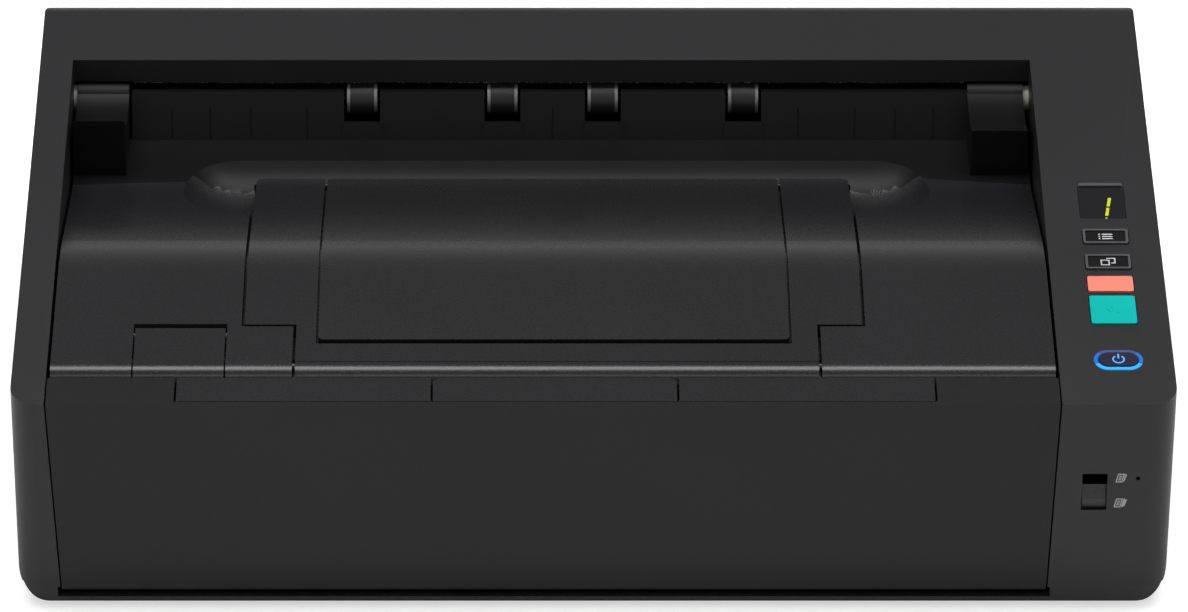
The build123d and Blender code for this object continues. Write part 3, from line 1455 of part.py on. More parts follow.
stem_end = board_depth - key_travel - 0.4
for name, (start, end) in keys.items():
    with BuildPart() as key_cap:
        centre = (control_x, (start + end) / 2)
        with BuildSketch(arm_plane.offset(key_proud)) as cap_face:
            with Locations(centre):
                RectangleRounded(control_width - 2 * key_gap, end - start - 2 * key_gap, 1.0)
        extrude(cap_face.sketch, amount=-key_proud - wall - 1.4)
        if name in ("mode_key", "menu_key"):
            with BuildSketch(arm_plane.offset(key_proud)) as cap_dish:
                with Locations(centre):
                    RectangleRounded(control_width - 2 * key_gap - 1.8, end - start - 2 * key_gap - 1.8, 0.4)
            extrude(cap_dish.sketch, amount=-0.35, mode=Mode.SUBTRACT)
        with BuildSketch(arm_plane.offset(-wall - slide_gap)) as flange_face:
            with Locations(centre):
                Rectangle(control_width + 1.6, end - start + 1.2)
        extrude(flange_face.sketch, amount=-1.2)
        with BuildSketch(arm_plane.offset(-wall)) as stem_face:
            with Locations(centre):
                Circle(2.0)
        extrude(stem_face.sketch, amount=wall - stem_end)
    key_cap.part.label = name
    export_step(key_cap.part, f"parts/{name}.step")

with BuildPart() as power_ring:
    with BuildSketch(arm_plane.offset(0.3)) as ring_face:
        with Locations((control_x, power_place)):
            SlotOverall(power_width - 0.2, power_height - 0.2)
            SlotOverall(power_width - 2 * ring_width, power_height - 2 * ring_width, mode=Mode.SUBTRACT)
    extrude(ring_face.sketch, amount=-0.3 - wall)
power_ring.part.label = "power_ring"
export_step(power_ring.part, "parts/power_ring.step")

with BuildPart() as power_button:
    inner_width = power_width - 2 * ring_width
    inner_height = power_height - 2 * ring_width
    with BuildSketch(arm_plane.offset(key_proud)) as cap_face:
        with Locations((control_x, power_place)):
            SlotOverall(inner_width - 2 * key_gap, inner_height - 2 * key_gap)
    extrude(cap_face.sketch, amount=-key_proud - wall - 1.4)
    with BuildSketch(arm_plane.offset(-wall - slide_gap)) as flange_face:
        with Locations((control_x, power_place)):
            SlotOverall(inner_width + 2, inner_height + 2)
    extrude(flange_face.sketch, amount=-1.2)
    with BuildSketch(arm_plane.offset(-wall)) as stem_face:
        with Locations((control_x, power_place)):
            Circle(2.0)
    extrude(stem_face.sketch, amount=wall - stem_end)
power_button.part.label = "power_button"
export_step(power_button.part, "parts/power_button.step")

# Feed selector on the front of the right arm
selector_gap = 0.3
with BuildPart() as feed_selector:
    knob_bottom = selector_bottom + selector_gap
    across(
        [
            (front + 1.2, knob_bottom), (front + 0.2, knob_bottom + 3.0), (front + 0.2, knob_bottom + 4.3),
            (front + wall + 0.6, knob_bottom + selector_knob), (front + wall + 2, knob_bottom + selector_knob),
            (front + wall + 2, knob_bottom),
        ],
        (selector_left + selector_gap, selector_right - selector_gap),
    )
    block((selector_left - 1.5, selector_right + 1.5), (front + wall + slide_gap, front + wall + 2),
          (selector_bottom - 1.5, selector_bottom + selector_knob + 2))
feed_selector.part.label = "feed_selector"
export_step(feed_selector.part, "parts/feed_selector.step")
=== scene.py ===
import math
import random

import bmesh
import bpy
from mathutils import Matrix, Vector


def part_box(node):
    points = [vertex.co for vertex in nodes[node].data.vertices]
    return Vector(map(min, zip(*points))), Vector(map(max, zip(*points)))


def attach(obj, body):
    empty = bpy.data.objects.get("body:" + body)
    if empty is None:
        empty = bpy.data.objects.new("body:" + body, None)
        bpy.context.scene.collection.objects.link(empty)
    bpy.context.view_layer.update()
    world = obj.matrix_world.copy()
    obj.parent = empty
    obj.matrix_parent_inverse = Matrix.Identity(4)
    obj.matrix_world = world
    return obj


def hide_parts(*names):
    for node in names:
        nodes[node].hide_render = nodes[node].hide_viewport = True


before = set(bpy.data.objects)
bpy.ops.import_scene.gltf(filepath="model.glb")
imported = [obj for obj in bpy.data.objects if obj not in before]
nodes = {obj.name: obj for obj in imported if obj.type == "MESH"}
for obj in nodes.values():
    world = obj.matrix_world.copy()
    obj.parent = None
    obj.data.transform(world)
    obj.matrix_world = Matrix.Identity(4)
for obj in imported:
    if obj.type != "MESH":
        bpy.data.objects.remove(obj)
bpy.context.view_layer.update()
mm = 0.001

# Casing: two screwed ABS mouldings and the flat cover at the back.
# The tools for them were spark-eroded, so the dark plastic has a fine even grain
# that scatters the studio's light into a soft satin.


def linear(hex_colour):
    """Linear RGBA of an sRGB colour such as 2e2e30."""
    channels = [int(hex_colour[i:i + 2], 16) / 255 for i in (0, 2, 4)]
    return [c / 12.92 if c <= 0.04045 else ((c + 0.055) / 1.055) ** 2.4 for c in channels] + [1.0]


def add_node(tree, kind, settings=None, links=None):
    """Add a shader node, set its sockets or properties and link (node, socket) pairs into it."""
    node = tree.nodes.new("ShaderNode" + kind)
    for name, value in (settings or {}).items():
        if name in node.inputs:
            node.inputs[name].default_value = value
        else:
            setattr(node, name, value)
    for name, (source, socket) in (links or {}).items():
        tree.links.new(source.outputs[socket], node.inputs[name])
    return node


def new_material(name):
    """A material and its node tree, still empty."""
    material = bpy.data.materials.new(name)
    material.use_nodes = True
    material.node_tree.nodes.clear()
    return material, material.node_tree


def noise(tree, size_mm, settings=None):
    """Noise fixed to the object, with blotches of about size_mm."""
    place = add_node(tree, "TexCoord")
    scale = {"Scale": 1 / (size_mm * mm)}
    return add_node(tree, "TexNoise", {**scale, **(settings or {})}, {"Vector": (place, "Object")})


def stretched(tree, source, low, high, swing=0.5):
    """A noise mapped to low and high, which it meets at swing below and above its middle."""
    levels = {"From Min": 0.5 - swing, "From Max": 0.5 + swing, "To Min": low, "To Max": high}
    return add_node(tree, "MapRange", levels, {"Value": (source, "Fac")})


def tinted(tree, colour, source, low, high, swing=0.5):
    """A colour made darker and lighter by a noise."""
    shade = stretched(tree, source, low, high, swing)
    return add_node(tree, "HueSaturation", {"Color": linear(colour)}, {"Value": (shade, "Result")})


def bumped(tree, source, strength, depth_mm):
    """Relief from a noise."""
    height = {"Strength": strength, "Distance": depth_mm * mm}
    return add_node(tree, "Bump", height, {"Height": (source, "Fac")})


def surfaced(material, tree, settings, links=None):
    """The material with its principled surface linked to the output."""
    surface = add_node(tree, "BsdfPrincipled", settings, links)
    add_node(tree, "OutputMaterial", links={"Surface": (surface, "BSDF")})
    return material


def moulded_plastic(name, colour, roughness=0.42, grain_mm=0.7, depth_mm=0.012, shine=0.45):
    """Plastic from an eroded tool: grain drawn coarser than real, so that it shows."""
    material, tree = new_material(name)
    grain = noise(tree, grain_mm, {"Detail": 2.0, "Roughness": 0.6})
    flow = noise(tree, size_mm=60, settings={"Detail": 1.0})
    tint = tinted(tree, colour, flow, low=0.93, high=1.07, swing=0.2)
    gloss = stretched(tree, grain, low=roughness - 0.05, high=roughness + 0.05, swing=0.25)
    relief = bumped(tree, grain, strength=0.5, depth_mm=depth_mm)
    return surfaced(
        material, tree, {"IOR": 1.5, "Specular IOR Level": shine},
        {"Base Color": (tint, "Color"), "Roughness": (gloss, "Result"), "Normal": (relief, "Normal")})


def dress(name, material, round_mm=0.0):
    """Give a CAD node its material, and take its sharp edges off by a real radius."""
    piece = nodes[name]
    piece.data.materials.clear()
    piece.data.materials.append(material)
    if round_mm:
        edge = piece.modifiers.new("moulded_edges", "BEVEL")
        edge.width = round_mm * mm
        edge.segments = 3
        edge.limit_method = "ANGLE"
        edge.angle_limit = math.radians(40)
        edge.use_clamp_overlap = False
        edge.harden_normals = True
    return piece


casing_abs = moulded_plastic("charcoal_abs", "202022", roughness=0.36)
base_abs = moulded_plastic("black_abs", "29282a", roughness=0.5)
dress("top_casing", casing_abs, 0.7)
dress("base_casing", base_abs, 0.3)
dress("rear_cover", casing_abs, 0.3)

# Rubber feet and the screws that hold the two mouldings together.
# The feet are moulded nitrile rubber, dull and slightly brown; the screws are zinc-plated
# steel, cool and streaked, sunk into the base from below.


def rubber(name, colour, roughness=0.75, grain_mm=0.5):
    """Moulded rubber: no gloss to speak of, and a dusty bloom that varies over a centimetre."""
    material, tree = new_material(name)
    bloom = noise(tree, size_mm=9, settings={"Detail": 3.0})
    tint = tinted(tree, colour, bloom, low=0.85, high=1.2)
    relief = bumped(tree, noise(tree, grain_mm), strength=0.6, depth_mm=0.03)
    return surfaced(
        material, tree, {"IOR": 1.52, "Roughness": roughness, "Specular IOR Level": 0.3},
        {"Base Color": (tint, "Color"), "Normal": (relief, "Normal")})


def plated_steel(name, colour, roughness=0.32, streak_mm=0.4):
    """Plated or turned metal: fine streaks along X, the way sheet and bars are drawn."""
    material, tree = new_material(name)
    place = add_node(tree, "TexCoord")
    drawn = add_node(tree, "Mapping", {"Scale": (0.05, 1.0, 1.0)}, {"Vector": (place, "Object")})
    streak = add_node(tree, "TexNoise", {"Scale": 1 / (streak_mm * mm), "Detail": 3.0},
                      {"Vector": (drawn, "Vector")})
    gloss = stretched(tree, streak, low=roughness - 0.12, high=roughness + 0.12)
    relief = bumped(tree, streak, strength=0.3, depth_mm=0.01)
    return surfaced(
        material, tree, {"Base Color": linear(colour), "Metallic": 1.0},
        {"Roughness": (gloss, "Result"), "Normal": (relief, "Normal")})


zinc_steel = plated_steel("zinc_plated_steel", "b9bcc0")
bright_steel = plated_steel("turned_steel", "cdd0d3", roughness=0.22)
dress("rubber_feet", rubber("foot_rubber", "232120"))
dress("casing_screws", zinc_steel)

# Side frames, shafts and bushes: the frames are punched zinc-plated sheet, the shafts turned
# bar, and the bushes and gears are moulded from natural white acetal, which lets a little
# light in and looks waxy. The exit shaft is blackened, and the feed pinion is brass.


def acetal(name, colour, roughness=0.38):
    """Acetal: milky under the surface, with a soft sheen and no grain."""
    material, tree = new_material(name)
    flow = noise(tree, size_mm=8, settings={"Detail": 2.0})
    tint = tinted(tree, colour, flow, low=0.94, high=1.04)
    milk = {"Subsurface Weight": 0.15, "Subsurface Scale": 0.6 * mm}
    return surfaced(material, tree, {"IOR": 1.48, "Roughness": roughness, **milk},
                    {"Base Color": (tint, "Color")})


white_acetal = acetal("white_acetal", "e4e1d6")
for name in ("side_frame_left", "side_frame_right", "latch_shaft"):
    dress(name, zinc_steel)
for name in ("shaft_bushes", "hinge_bushes", "idler_gear", "guide_pinion", "drive_pulley"):
    dress(name, white_acetal)
for name in ("drive_motor", "feed_motor", "pinch_springs"):
    dress(name, bright_steel)
dress("eject_shaft", plated_steel("blackened_steel", "1a1a1b", roughness=0.4))
dress("feed_pinion", plated_steel("brass", "c9a45c", roughness=0.3))
dress("timing_belt", rubber("belt_rubber", "1c1c1d"))

# Rollers: rubber tyres moulded onto steel shafts, so each shaft's ends and the stretches
# between its tyres stay bright. Drive tyres are dark grey, the feed and retard tyres
# blue-grey, and the idlers that press on them are white acetal.


def dress_roller(name, tyre, shaft, limit_mm):
    """Shaft material within limit_mm of a roller's axis, tyre material beyond."""
    piece = dress(name, shaft)
    piece.data.materials.append(tyre)
    low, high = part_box(name)
    axis_y = (low.y + high.y) / 2
    axis_z = (low.z + high.z) / 2
    for face in piece.data.polygons:
        reach = math.hypot(face.center.y - axis_y, face.center.z - axis_z)
        if reach > limit_mm * mm:
            face.material_index = 1


drive_rubber = rubber("drive_rubber", "3a3a3c", roughness=0.65)
feed_rubber = rubber("feed_rubber", "3d4654", roughness=0.7)
drive_limit_mm = 3.2
pinch_limit_mm = 2.2
eject_limit_mm = 1.7
for name in ("registration_roller", "transport_roller"):
    dress_roller(name, drive_rubber, bright_steel, drive_limit_mm)
for name in ("feed_roller", "retard_roller"):
    dress_roller(name, feed_rubber, bright_steel, drive_limit_mm)
for name in ("registration_pinch", "transport_pinch"):
    dress_roller(name, white_acetal, bright_steel, pinch_limit_mm)
dress_roller("eject_pinch", white_acetal, bright_steel, eject_limit_mm)

# Eject tyres: four soft black tyres pressed on the blackened shaft, each between two grey
# nylon rims that keep it from walking along.
tyre_middles_mm = (-88.0, -33.7, 5.1, 59.4)
rim_start_mm = 4.55
tyres = dress("eject_tyres", rubber("eject_rubber", "1d1d1e", roughness=0.5))
tyres.data.materials.append(acetal("rim_nylon", "77777a", roughness=0.45))
for face in tyres.data.polygons:
    if min(abs(face.center.x / mm - middle) for middle in tyre_middles_mm) > rim_start_mm:
        face.material_index = 1

# Paper path: smooth black guides that sheets slide on, and two contact image sensors
# behind float glass, which shows a faint green where it is thick.
path_abs = moulded_plastic("guide_abs", "121213", roughness=0.32, grain_mm=1.2, depth_mm=0.006)
for name in ("lower_paper_guide", "rear_turn_guide", "unit_chassis", "eject_pinch_bracket",
             "lower_image_sensor", "upper_image_sensor", "guide_left", "guide_right"):
    dress(name, path_abs, 0.25)


def float_glass():
    """Sensor glass: clear, flat and faintly green in its thickness."""
    material, tree = new_material("float_glass")
    return surfaced(material, tree, {"Base Color": linear("dfeee8"), "Roughness": 0.02,
                                     "IOR": 1.52, "Transmission Weight": 0.85})


glass = float_glass()
dress("lower_sensor_glass", glass)
dress("upper_sensor_glass", glass)

# Upper unit's cover, eject tray and lever: the same dark ABS in a smoother finish, because
# sheets land on it. The exit lip and the hinge covers are given a darker, duller plastic as
# painted shade, for the shade that falls on them under the bezel.
cover_abs = moulded_plastic("cover_abs", "1f1f21", roughness=0.26)
painted_shade_abs = moulded_plastic("exit_lip_painted_shade", "111112", roughness=0.4, shine=0.15)
cover = dress("unit_cover", cover_abs, 0.4)
cover.data.materials.append(painted_shade_abs)
front_mm = -123.0
exit_reach_mm = 170.0
# Faces behind the start of the exit lip take the painted shade.
for face in cover.data.polygons:
    if face.center.y > (front_mm + exit_reach_mm) * mm:
        face.material_index = 1
dress("hinge_cover_left", painted_shade_abs, 0.4)
dress("hinge_cover_right", painted_shade_abs, 0.4)
dress("open_lever", cover_abs, 0.3)
dress("eject_tray", cover_abs, 0.35)
dress("eject_extension", moulded_plastic("extension_abs", "201f20", roughness=0.28), 0.3)

# Feed tray: the front panel and the two extensions that pull out of its top.
# The panel is satin with softly rounded edges, which catch a line of light along its top.
dress("feed_tray", moulded_plastic("panel_abs", "1a1919", roughness=0.32, shine=0.32), 0.7)
dress("tray_extension", cover_abs, 0.25)
dress("tip_extension", cover_abs, 0.25)

# Display: a smoked acrylic window, gloss black, over a lamp module whose lit segments shine
# through yellow-green. The raised lip along its rear edge is painted paler, a painted highlight
# for the light that its rounded edge catches.
arm_slope = math.radians(7.2)
up_the_arm = Vector((0.0, math.cos(arm_slope), math.sin(arm_slope)))
out_of_arm = Vector((0.0, -math.sin(arm_slope), math.cos(arm_slope)))
arm_front_height_mm = 89.4
panel_middle_mm = 191.75


def on_arm(x_mm, reach_mm, proud_mm=0.0):
    """Point over the right arm's top: across, up its slope from the front, and proud of it."""
    foot = Vector((x_mm, front_mm, arm_front_height_mm))
    return (foot + up_the_arm * reach_mm + out_of_arm * proud_mm) * mm


def gloss_acrylic(name, colour, roughness=0.1):
    """Polished acrylic or painted key face: mirror-smooth with a barely wavy surface."""
    material, tree = new_material(name)
    wave = noise(tree, size_mm=14, settings={"Detail": 1.0})
    relief = bumped(tree, wave, strength=0.2, depth_mm=0.05)
    smear = stretched(tree, wave, low=roughness, high=roughness + 0.08)
    return surfaced(
        material, tree, {"Base Color": linear(colour), "IOR": 1.49},
        {"Roughness": (smear, "Result"), "Normal": (relief, "Normal")})


def glowing(name, colour, strength):
    """Light pipe or lit segment: clouded acrylic that glows a little unevenly in its colour."""
    material, tree = new_material(name)
    cloud = noise(tree, size_mm=4, settings={"Detail": 1.0})
    lit = stretched(tree, cloud, low=strength * 0.85, high=strength * 1.15)
    lamp_colour = linear(colour)
    return surfaced(
        material, tree,
        {"Base Color": lamp_colour, "Roughness": 0.3, "Emission Color": lamp_colour},
        {"Emission Strength": (lit, "Result")})


def printed(name, outlines_mm, origin, up, body, material, thick_mm=0.05):
    """Marks printed or let into a face: outlines in mm across and up it, as thin solids."""
    sunk_mm = 0.02
    across = Vector((1.0, 0.0, 0.0))
    out = across.cross(up)
    mark = bmesh.new()
    for outline in outlines_mm:
        rim = [origin + across * u * mm + up * v * mm - out * sunk_mm * mm for u, v in outline]
        low = [mark.verts.new(point) for point in rim]
        high = [mark.verts.new(point + out * thick_mm * mm) for point in rim]
        sides = [(low[i - 1], low[i], high[i], high[i - 1]) for i in range(len(rim))]
        for corners in [low[::-1], high] + sides:
            mark.faces.new(corners)
    bmesh.ops.recalc_face_normals(mark, faces=mark.faces)
    mesh = bpy.data.meshes.new(name)
    mark.to_mesh(mesh)
    mark.free()
    mesh.materials.append(material)
    piece = bpy.data.objects.new(name, mesh)
    bpy.context.scene.collection.objects.link(piece)
    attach(piece, body)


def bar(left, right, low, high, slant=0.0):
    """Outline of a bar whose sides lean by slant, in mm."""
    return [(left + slant * low, low), (right + slant * low, low),
            (right + slant * high, high), (left + slant * high, high)]


window = dress("display_window", gloss_acrylic("smoked_acrylic", "17171a"), 0.15)
window.data.materials.append(moulded_plastic("window_lip_painted_highlight", "4a4a4c", roughness=0.4))
lip_mm = 2.0
lip_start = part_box("display_window")[1].y - lip_mm * mm
# Faces along the rear lip take the painted highlight.
for face in window.data.polygons:
    if face.center.y > lip_start:
        face.material_index = 1
digit_slant = 0.16
digit_middle_mm = 193.95
digit_reach_mm = 115.3
printed("display_digit",
        [bar(-0.6, 0.6, 0.5, 5.6, digit_slant), bar(-0.6, 0.6, -5.2, -0.4, digit_slant),
         bar(-0.35, 0.35, -6.9, -6.2, digit_slant)],
        on_arm(digit_middle_mm, digit_reach_mm), up_the_arm, "chassis",
        glowing("lit_segment", "a3b01c", 0.6))

# Function keys: grey ABS frames with a dished gloss-black face, each with a small pad-printed
# sign of its own: lines of a list on the first, two sheets one over the other on the second.
key_frame = moulded_plastic("key_frame_abs", "4f4f52", roughness=0.3)
key_face = gloss_acrylic("painted_key_face", "0b0b0d", roughness=0.16)
pad_ink = moulded_plastic("pale_pad_ink", "c0c0c2", roughness=0.6)
key_reaches_mm = {"mode_key": 97.25, "menu_key": 82.15}
key_proud_mm = 0.7
dish_mm = 0.35
dish_tolerance_mm = 0.1
square_on = 0.9
for name, reach_mm in key_reaches_mm.items():
    key = dress(name, key_frame, 0.2)
    key.data.materials.append(key_face)
    top = on_arm(panel_middle_mm, reach_mm, key_proud_mm)
    for face in key.data.polygons:
        depth = -(face.center - top).dot(out_of_arm)
        in_dish = abs(depth - dish_mm * mm) < dish_tolerance_mm * mm
        if in_dish and face.normal.dot(out_of_arm) > square_on:
            face.material_index = 1
line_half_mm = 0.3
line_heights_mm = (-1.3, 0.0, 1.3)
list_sign = [bar(-2.6, -2.0, v - line_half_mm, v + line_half_mm) for v in line_heights_mm]
list_sign += [bar(-1.3, 2.6, v - line_half_mm, v + line_half_mm) for v in line_heights_mm]
sheets_sign = [
    bar(-2.8, 0.6, -2.0, -1.5),
    bar(-2.8, -2.3, -1.5, 0.7),
    bar(-2.8, 0.6, 0.7, 1.2),
    bar(0.1, 0.6, -1.5, 0.7),
    bar(1.1, 2.8, -0.9, -0.4),
    bar(2.3, 2.8, -0.4, 1.8),
    bar(-0.6, 2.8, 1.8, 2.3),
]
for name, key, sign in (("list_sign", "mode_key", list_sign),
                        ("sheets_sign", "menu_key", sheets_sign)):
    place = on_arm(panel_middle_mm, key_reaches_mm[key], key_proud_mm - dish_mm)
    printed(name, sign, place, up_the_arm, key, pad_ink)

# Stop and start keys: moulded in their own colour, salmon and teal, with a satin top. The
# start key carries a faint diamond and bar in relief.
dress("stop_button", moulded_plastic("salmon_abs", "f58672", roughness=0.4), 0.35)
teal = moulded_plastic("teal_abs", "00b3ab", roughness=0.4, shine=0.15)
dress("start_button", teal, 0.35)
start_reach_mm = 53.8
start_relief_mm = 0.12
start_relief = [
    [(-2.2, 0.0), (-0.8, -1.9), (-0.8, -1.3), (-1.6, 0.0), (-0.8, 1.3), (-0.8, 1.9)],
    [(0.6, 0.0), (-0.8, 1.9), (-0.8, 1.3), (0.0, 0.0), (-0.8, -1.3), (-0.8, -1.9)],
    bar(1.4, 1.9, -1.9, 1.9),
]
printed("start_relief", start_relief, on_arm(panel_middle_mm, start_reach_mm, key_proud_mm),
        up_the_arm, "start_button", teal, start_relief_mm)

# Power key: a navy satin cap in a clouded acrylic ring that a blue lamp lights from below, and
# a cut-through sign that the same lamp lights. The ring's front is painted brighter as a painted
# highlight, and its rear painted dim and grey as painted shade.
dress("power_button", gloss_acrylic("navy_satin", "1f1d33", roughness=0.25), 0.3)
ring = dress("power_ring", glowing("blue_light_ring", "1260b4", 0.45), 0.2)
ring.data.materials.append(glowing("ring_painted_shade", "3e4a78", 0.3))
ring.data.materials.append(glowing("ring_painted_highlight", "2890e0", 0.8))
highlight_until = 0.3
shade_from = 0.8
ring_low, ring_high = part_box("power_ring")
# Rear faces take the painted shade, front faces the painted highlight.
for face in ring.data.polygons:
    share = (face.center.y - ring_low.y) / (ring_high.y - ring_low.y)
    if share > shade_from:
        face.material_index = 1
    elif share < highlight_until:
        face.material_index = 2
power_reach_mm = 25.0
sign_outer_mm = 2.3
sign_inner_mm = 1.75
sign_steps = 26
open_half = math.radians(34)
closed_turn = 2 * math.pi - 2 * open_half
turns = [math.pi / 2 + open_half + i * closed_turn / sign_steps for i in range(sign_steps + 1)]
outer_rim = [(sign_outer_mm * math.cos(a), sign_outer_mm * math.sin(a)) for a in turns]
inner_rim = [(sign_inner_mm * math.cos(a), sign_inner_mm * math.sin(a)) for a in turns]
power_sign = [[outer_rim[i], outer_rim[i + 1], inner_rim[i + 1], inner_rim[i]]
              for i in range(sign_steps)]
power_sign.append(bar(-0.28, 0.28, 0.5, 3.0))
printed("power_sign", power_sign, on_arm(panel_middle_mm, power_reach_mm, key_proud_mm),
        up_the_arm, "power_button", glowing("lit_sign", "4b95e4", 0.8))

# Feed selector: a black sliding wedge whose front face is painted paler than its sloped top,
# as painted light for the way the light falls on the two.
# Beside its slot are a pad-printed sheet and stack of sheets, and a pinhole.
slider = dress("feed_selector", moulded_plastic("selector_abs", "101211", roughness=0.3), 0.3)
slider.data.materials.append(moulded_plastic("selector_front_painted_light", "2e2e30", roughness=0.3))
# Faces turned to the front take the paler painted-light plastic.
for face in slider.data.polygons:
    if face.normal.y < -square_on:
        face.material_index = 1
face_up = Vector((0.0, 0.0, 1.0))
page_slant = 0.22
page_outline = [
    bar(-1.5, 1.0, -1.9, -1.45, page_slant),
    bar(-1.5, 1.0, 1.45, 1.9, page_slant),
    bar(-1.5, -1.1, -1.45, 1.45, page_slant),
    bar(0.6, 1.0, -1.45, 1.45, page_slant),
]
text_half_mm = 0.22
text_heights_mm = (-0.75, 0.0, 0.75)
page_lines = [bar(-0.8, 0.3, v - text_half_mm, v + text_half_mm, page_slant)
              for v in text_heights_mm]
edge_foot_mm = 1.2 - 0.42
edge_head_mm = 1.2 + 0.42
for name, x_mm, z_mm, thickness_mm in (("one_sheet_sign", 192.4, 57.6, 0.55),
                                       ("stack_sign", 192.2, 46.7, 1.3)):
    edge = [(edge_foot_mm, -1.9), (edge_foot_mm + thickness_mm, -1.3),
            (edge_head_mm + thickness_mm, 1.5), (edge_head_mm, 1.9)]
    centre = Vector((x_mm, front_mm, z_mm)) * mm
    printed(name, page_outline + page_lines + [edge], centre, face_up, "chassis", pad_ink)

# Boards and sockets inside the right arm and at the back: boards under glossy green solder
# mask, a dull black nylon power inlet, and a nickel-plated shell that stands out bright.
solder_mask = moulded_plastic("solder_mask", "1c5a2e", roughness=0.3, depth_mm=0.004)
dress("panel_board", solder_mask)
dress("main_board", solder_mask)
dress("dc_inlet", moulded_plastic("inlet_nylon", "161617", roughness=0.45), 0.2)
dress("usb_port", plated_steel("nickel_shell", "c4c2bc", roughness=0.2), 0.15)

# Antistatic brush: nylon fibres crimped in a strip under the bezel, which brush the sheets.
# About one fibre in five is painted pale among the dark carbon ones, as painted glints for
# fibres that catch the light.
crimp_mm = 0.4
root_mm = 0.1
fibre_pitch_mm = 0.28
fibre_rows_mm = (-0.45, -0.15, 0.15, 0.45)
fibre_width_mm = 0.15
fibre_corners = (0.3, 2.4, 4.5)
tip_share = 0.5
most_lean = 0.35
most_sway = 0.2
shortest = 0.75
glint_share = 0.22
scatter = random.Random(7)
brush_mesh = bmesh.new()
strip_low, strip_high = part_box("antistatic_brush")
strip_middle = (strip_low + strip_high) / 2
strip_bottom = strip_high.z - crimp_mm * mm
strip_place = (strip_middle.x, strip_middle.y, strip_high.z - crimp_mm * mm / 2)
strip_size = (strip_high.x - strip_low.x, strip_high.y - strip_low.y, crimp_mm * mm, 1.0)
bmesh.ops.create_cube(brush_mesh, size=1.0,
                      matrix=Matrix.Translation(strip_place) @ Matrix.Diagonal(strip_size))
fibre_count = int((strip_high.x - strip_low.x) / (fibre_pitch_mm * mm)) - 1
for row_mm in fibre_rows_mm:
    for i in range(fibre_count):
        x = strip_low.x + (i + 1) * fibre_pitch_mm * mm
        lean = scatter.uniform(-most_lean, most_lean)
        sway = scatter.uniform(-most_sway, most_sway)
        length = scatter.uniform(shortest, 1.0) * (strip_bottom - strip_low.z)
        root = Vector((x, strip_middle.y + row_mm * mm, strip_bottom + root_mm * mm))
        tip = root + Vector((lean * length, sway * length, -length))
        spread = [Vector((math.cos(a), math.sin(a), 0)) * fibre_width_mm / 2 * mm
                  for a in fibre_corners]
        upper = [brush_mesh.verts.new(root + r) for r in spread]
        lower = [brush_mesh.verts.new(tip + r * tip_share) for r in spread]
        # The pale fibres are painted glints.
        shade = 1 if scatter.random() < glint_share else 0
        sides = [(upper[a], lower[a], lower[(a + 1) % 3], upper[(a + 1) % 3]) for a in range(3)]
        for corners in sides + [lower[::-1], upper]:
            brush_mesh.faces.new(corners).material_index = shade
bmesh.ops.recalc_face_normals(brush_mesh, faces=brush_mesh.faces)
fibre_mesh = bpy.data.meshes.new("brush_fibres")
brush_mesh.to_mesh(fibre_mesh)
brush_mesh.free()
brush = bpy.data.objects.new("brush_fibres", fibre_mesh)
bpy.context.scene.collection.objects.link(brush)
fibre_mesh.materials.append(rubber("carbon_nylon_fibre", "262627", roughness=0.45))
fibre_mesh.materials.append(rubber("fibre_painted_glint", "f2f2f4", roughness=0.3))
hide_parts("antistatic_brush")
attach(brush, "chassis")

# Studio floor: pale and matte, so that it takes the object's shadow, with an emission that
# only the camera sees and that lifts it to white.
white = (1.0, 1.0, 1.0, 1.0)


def floor_material():
    """Pale matte floor that is open from below, so that the underside can be looked at."""
    camera_lift = 0.6
    material, tree = new_material("studio_floor")
    side = add_node(tree, "NewGeometry")
    seen = add_node(tree, "LightPath")
    lift = add_node(tree, "MapRange", {"To Max": camera_lift}, {"Value": (seen, "Is Camera Ray")})
    matte = {"Base Color": linear("e6e6e6"), "Roughness": 0.9, "Specular IOR Level": 0.1}
    pale = add_node(tree, "BsdfPrincipled", {**matte, "Emission Color": white},
                    {"Emission Strength": (lift, "Result")})
    clear = add_node(tree, "BsdfTransparent")
    both = add_node(tree, "MixShader", links={"Fac": (side, "Backfacing")})
    tree.links.new(pale.outputs["BSDF"], both.inputs[1])
    tree.links.new(clear.outputs["BSDF"], both.inputs[2])
    add_node(tree, "OutputMaterial", links={"Surface": (both, "Shader")})
    return material


floor_reach = 6.0
floor_corners = [(x * floor_reach, y * floor_reach, 0)
                 for x, y in ((-1, -1), (1, -1), (1, 1), (-1, 1))]
floor_mesh = bpy.data.meshes.new("floor")
floor_mesh.from_pydata(floor_corners, [], [(0, 1, 2, 3)])
floor_mesh.materials.append(floor_material())
floor = bpy.data.objects.new("floor", floor_mesh)
bpy.context.scene.collection.objects.link(floor)

# The world is white to the camera and through glass. In gloss it is a white backdrop that
# fades, between 6 and 30 degrees above the floor, into a dim ceiling.


def combined(tree, operation, first, second):
    """Arithmetic on two (node, socket) pairs."""
    node = add_node(tree, "Math", {"operation": operation})
    for index, (source, socket) in enumerate((first, second)):
        tree.links.new(source.outputs[socket], node.inputs[index])
    return node


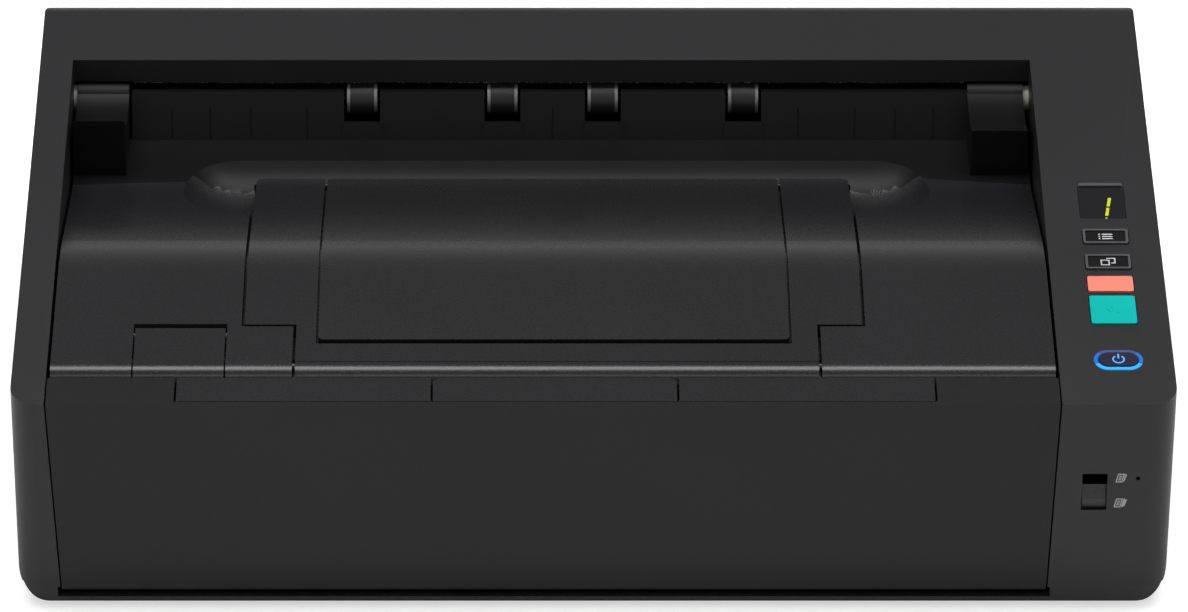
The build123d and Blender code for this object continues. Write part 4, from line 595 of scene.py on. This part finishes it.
world = bpy.data.worlds.new("white_studio")
world.use_nodes = True
world_tree = world.node_tree
world_tree.nodes.clear()
ceiling_level = 0.2
fade = {"From Min": 0.1, "From Max": 0.5, "To Min": 1.0, "To Max": 0.0}
ray = add_node(world_tree, "LightPath")
direction = add_node(world_tree, "TexCoord")
height = add_node(world_tree, "SeparateXYZ", links={"Vector": (direction, "Generated")})
backdrop = add_node(world_tree, "MapRange", {"interpolation_type": "SMOOTHSTEP", **fade},
                    {"Value": (height, "Z")})
in_gloss = combined(world_tree, "MULTIPLY", (ray, "Is Glossy Ray"), (backdrop, "Result"))
straight = combined(world_tree, "MAXIMUM", (ray, "Is Camera Ray"), (ray, "Is Transmission Ray"))
seen_white = combined(world_tree, "MAXIMUM", (in_gloss, "Value"), (straight, "Value"))
level = add_node(world_tree, "MapRange", {"To Min": ceiling_level, "To Max": 1.0},
                 {"Value": (seen_white, "Value")})
sky = add_node(world_tree, "Background", {"Color": white}, {"Strength": (level, "Result")})
add_node(world_tree, "OutputWorld", links={"Surface": (sky, "Background")})
bpy.context.scene.world = world

# Lights: the key light hangs nearly overhead and a little behind, so that the slopes stay
# dark and rounded edges catch it. A narrow strip in front and two side boxes open up the faces.


def soft_box(name, place, width, depth, watts):
    """Rectangular studio light turned towards the scanner."""
    lamp = bpy.data.lights.new(name, "AREA")
    lamp.shape = "RECTANGLE"
    lamp.size = width
    lamp.size_y = depth
    lamp.energy = watts
    holder = bpy.data.objects.new(name, lamp)
    holder.location = place
    aim = Vector((0.0, 0.0, 0.05)) - Vector(place)
    holder.rotation_euler = aim.to_track_quat("-Z", "Y").to_euler()
    bpy.context.scene.collection.objects.link(holder)


soft_box("key_light", (0.0, 0.12, 1.5), width=1.8, depth=0.55, watts=22)
soft_box("front_light", (0.0, -1.1, 1.35), width=1.8, depth=0.2, watts=3)
soft_box("left_light", (-1.7, -0.3, 0.9), width=0.5, depth=1.2, watts=2.5)
soft_box("right_light", (1.7, -0.3, 0.9), width=0.5, depth=1.2, watts=2.5)

# Camera: a long lens two metres in front of the scanner and 32 degrees above it, so that
# lines which run back hardly draw together, with the frame shifted a little sideways.
looking_down_degrees = 32
camera_data = bpy.data.cameras.new("photo_camera")
camera_data.lens = 205.2
camera_data.sensor_width = 36.0
camera_data.shift_x = 0.0566
camera_data.clip_end = 50.0
camera = bpy.data.objects.new("photo_camera", camera_data)
camera.location = Vector((-24.3, -2184.4, 1419.7)) * mm
camera.rotation_euler = (math.radians(90 - looking_down_degrees), 0.0, 0.0)
bpy.context.scene.collection.objects.link(camera)
bpy.context.scene.camera = camera
bpy.context.scene.view_settings.view_transform = "Standard"
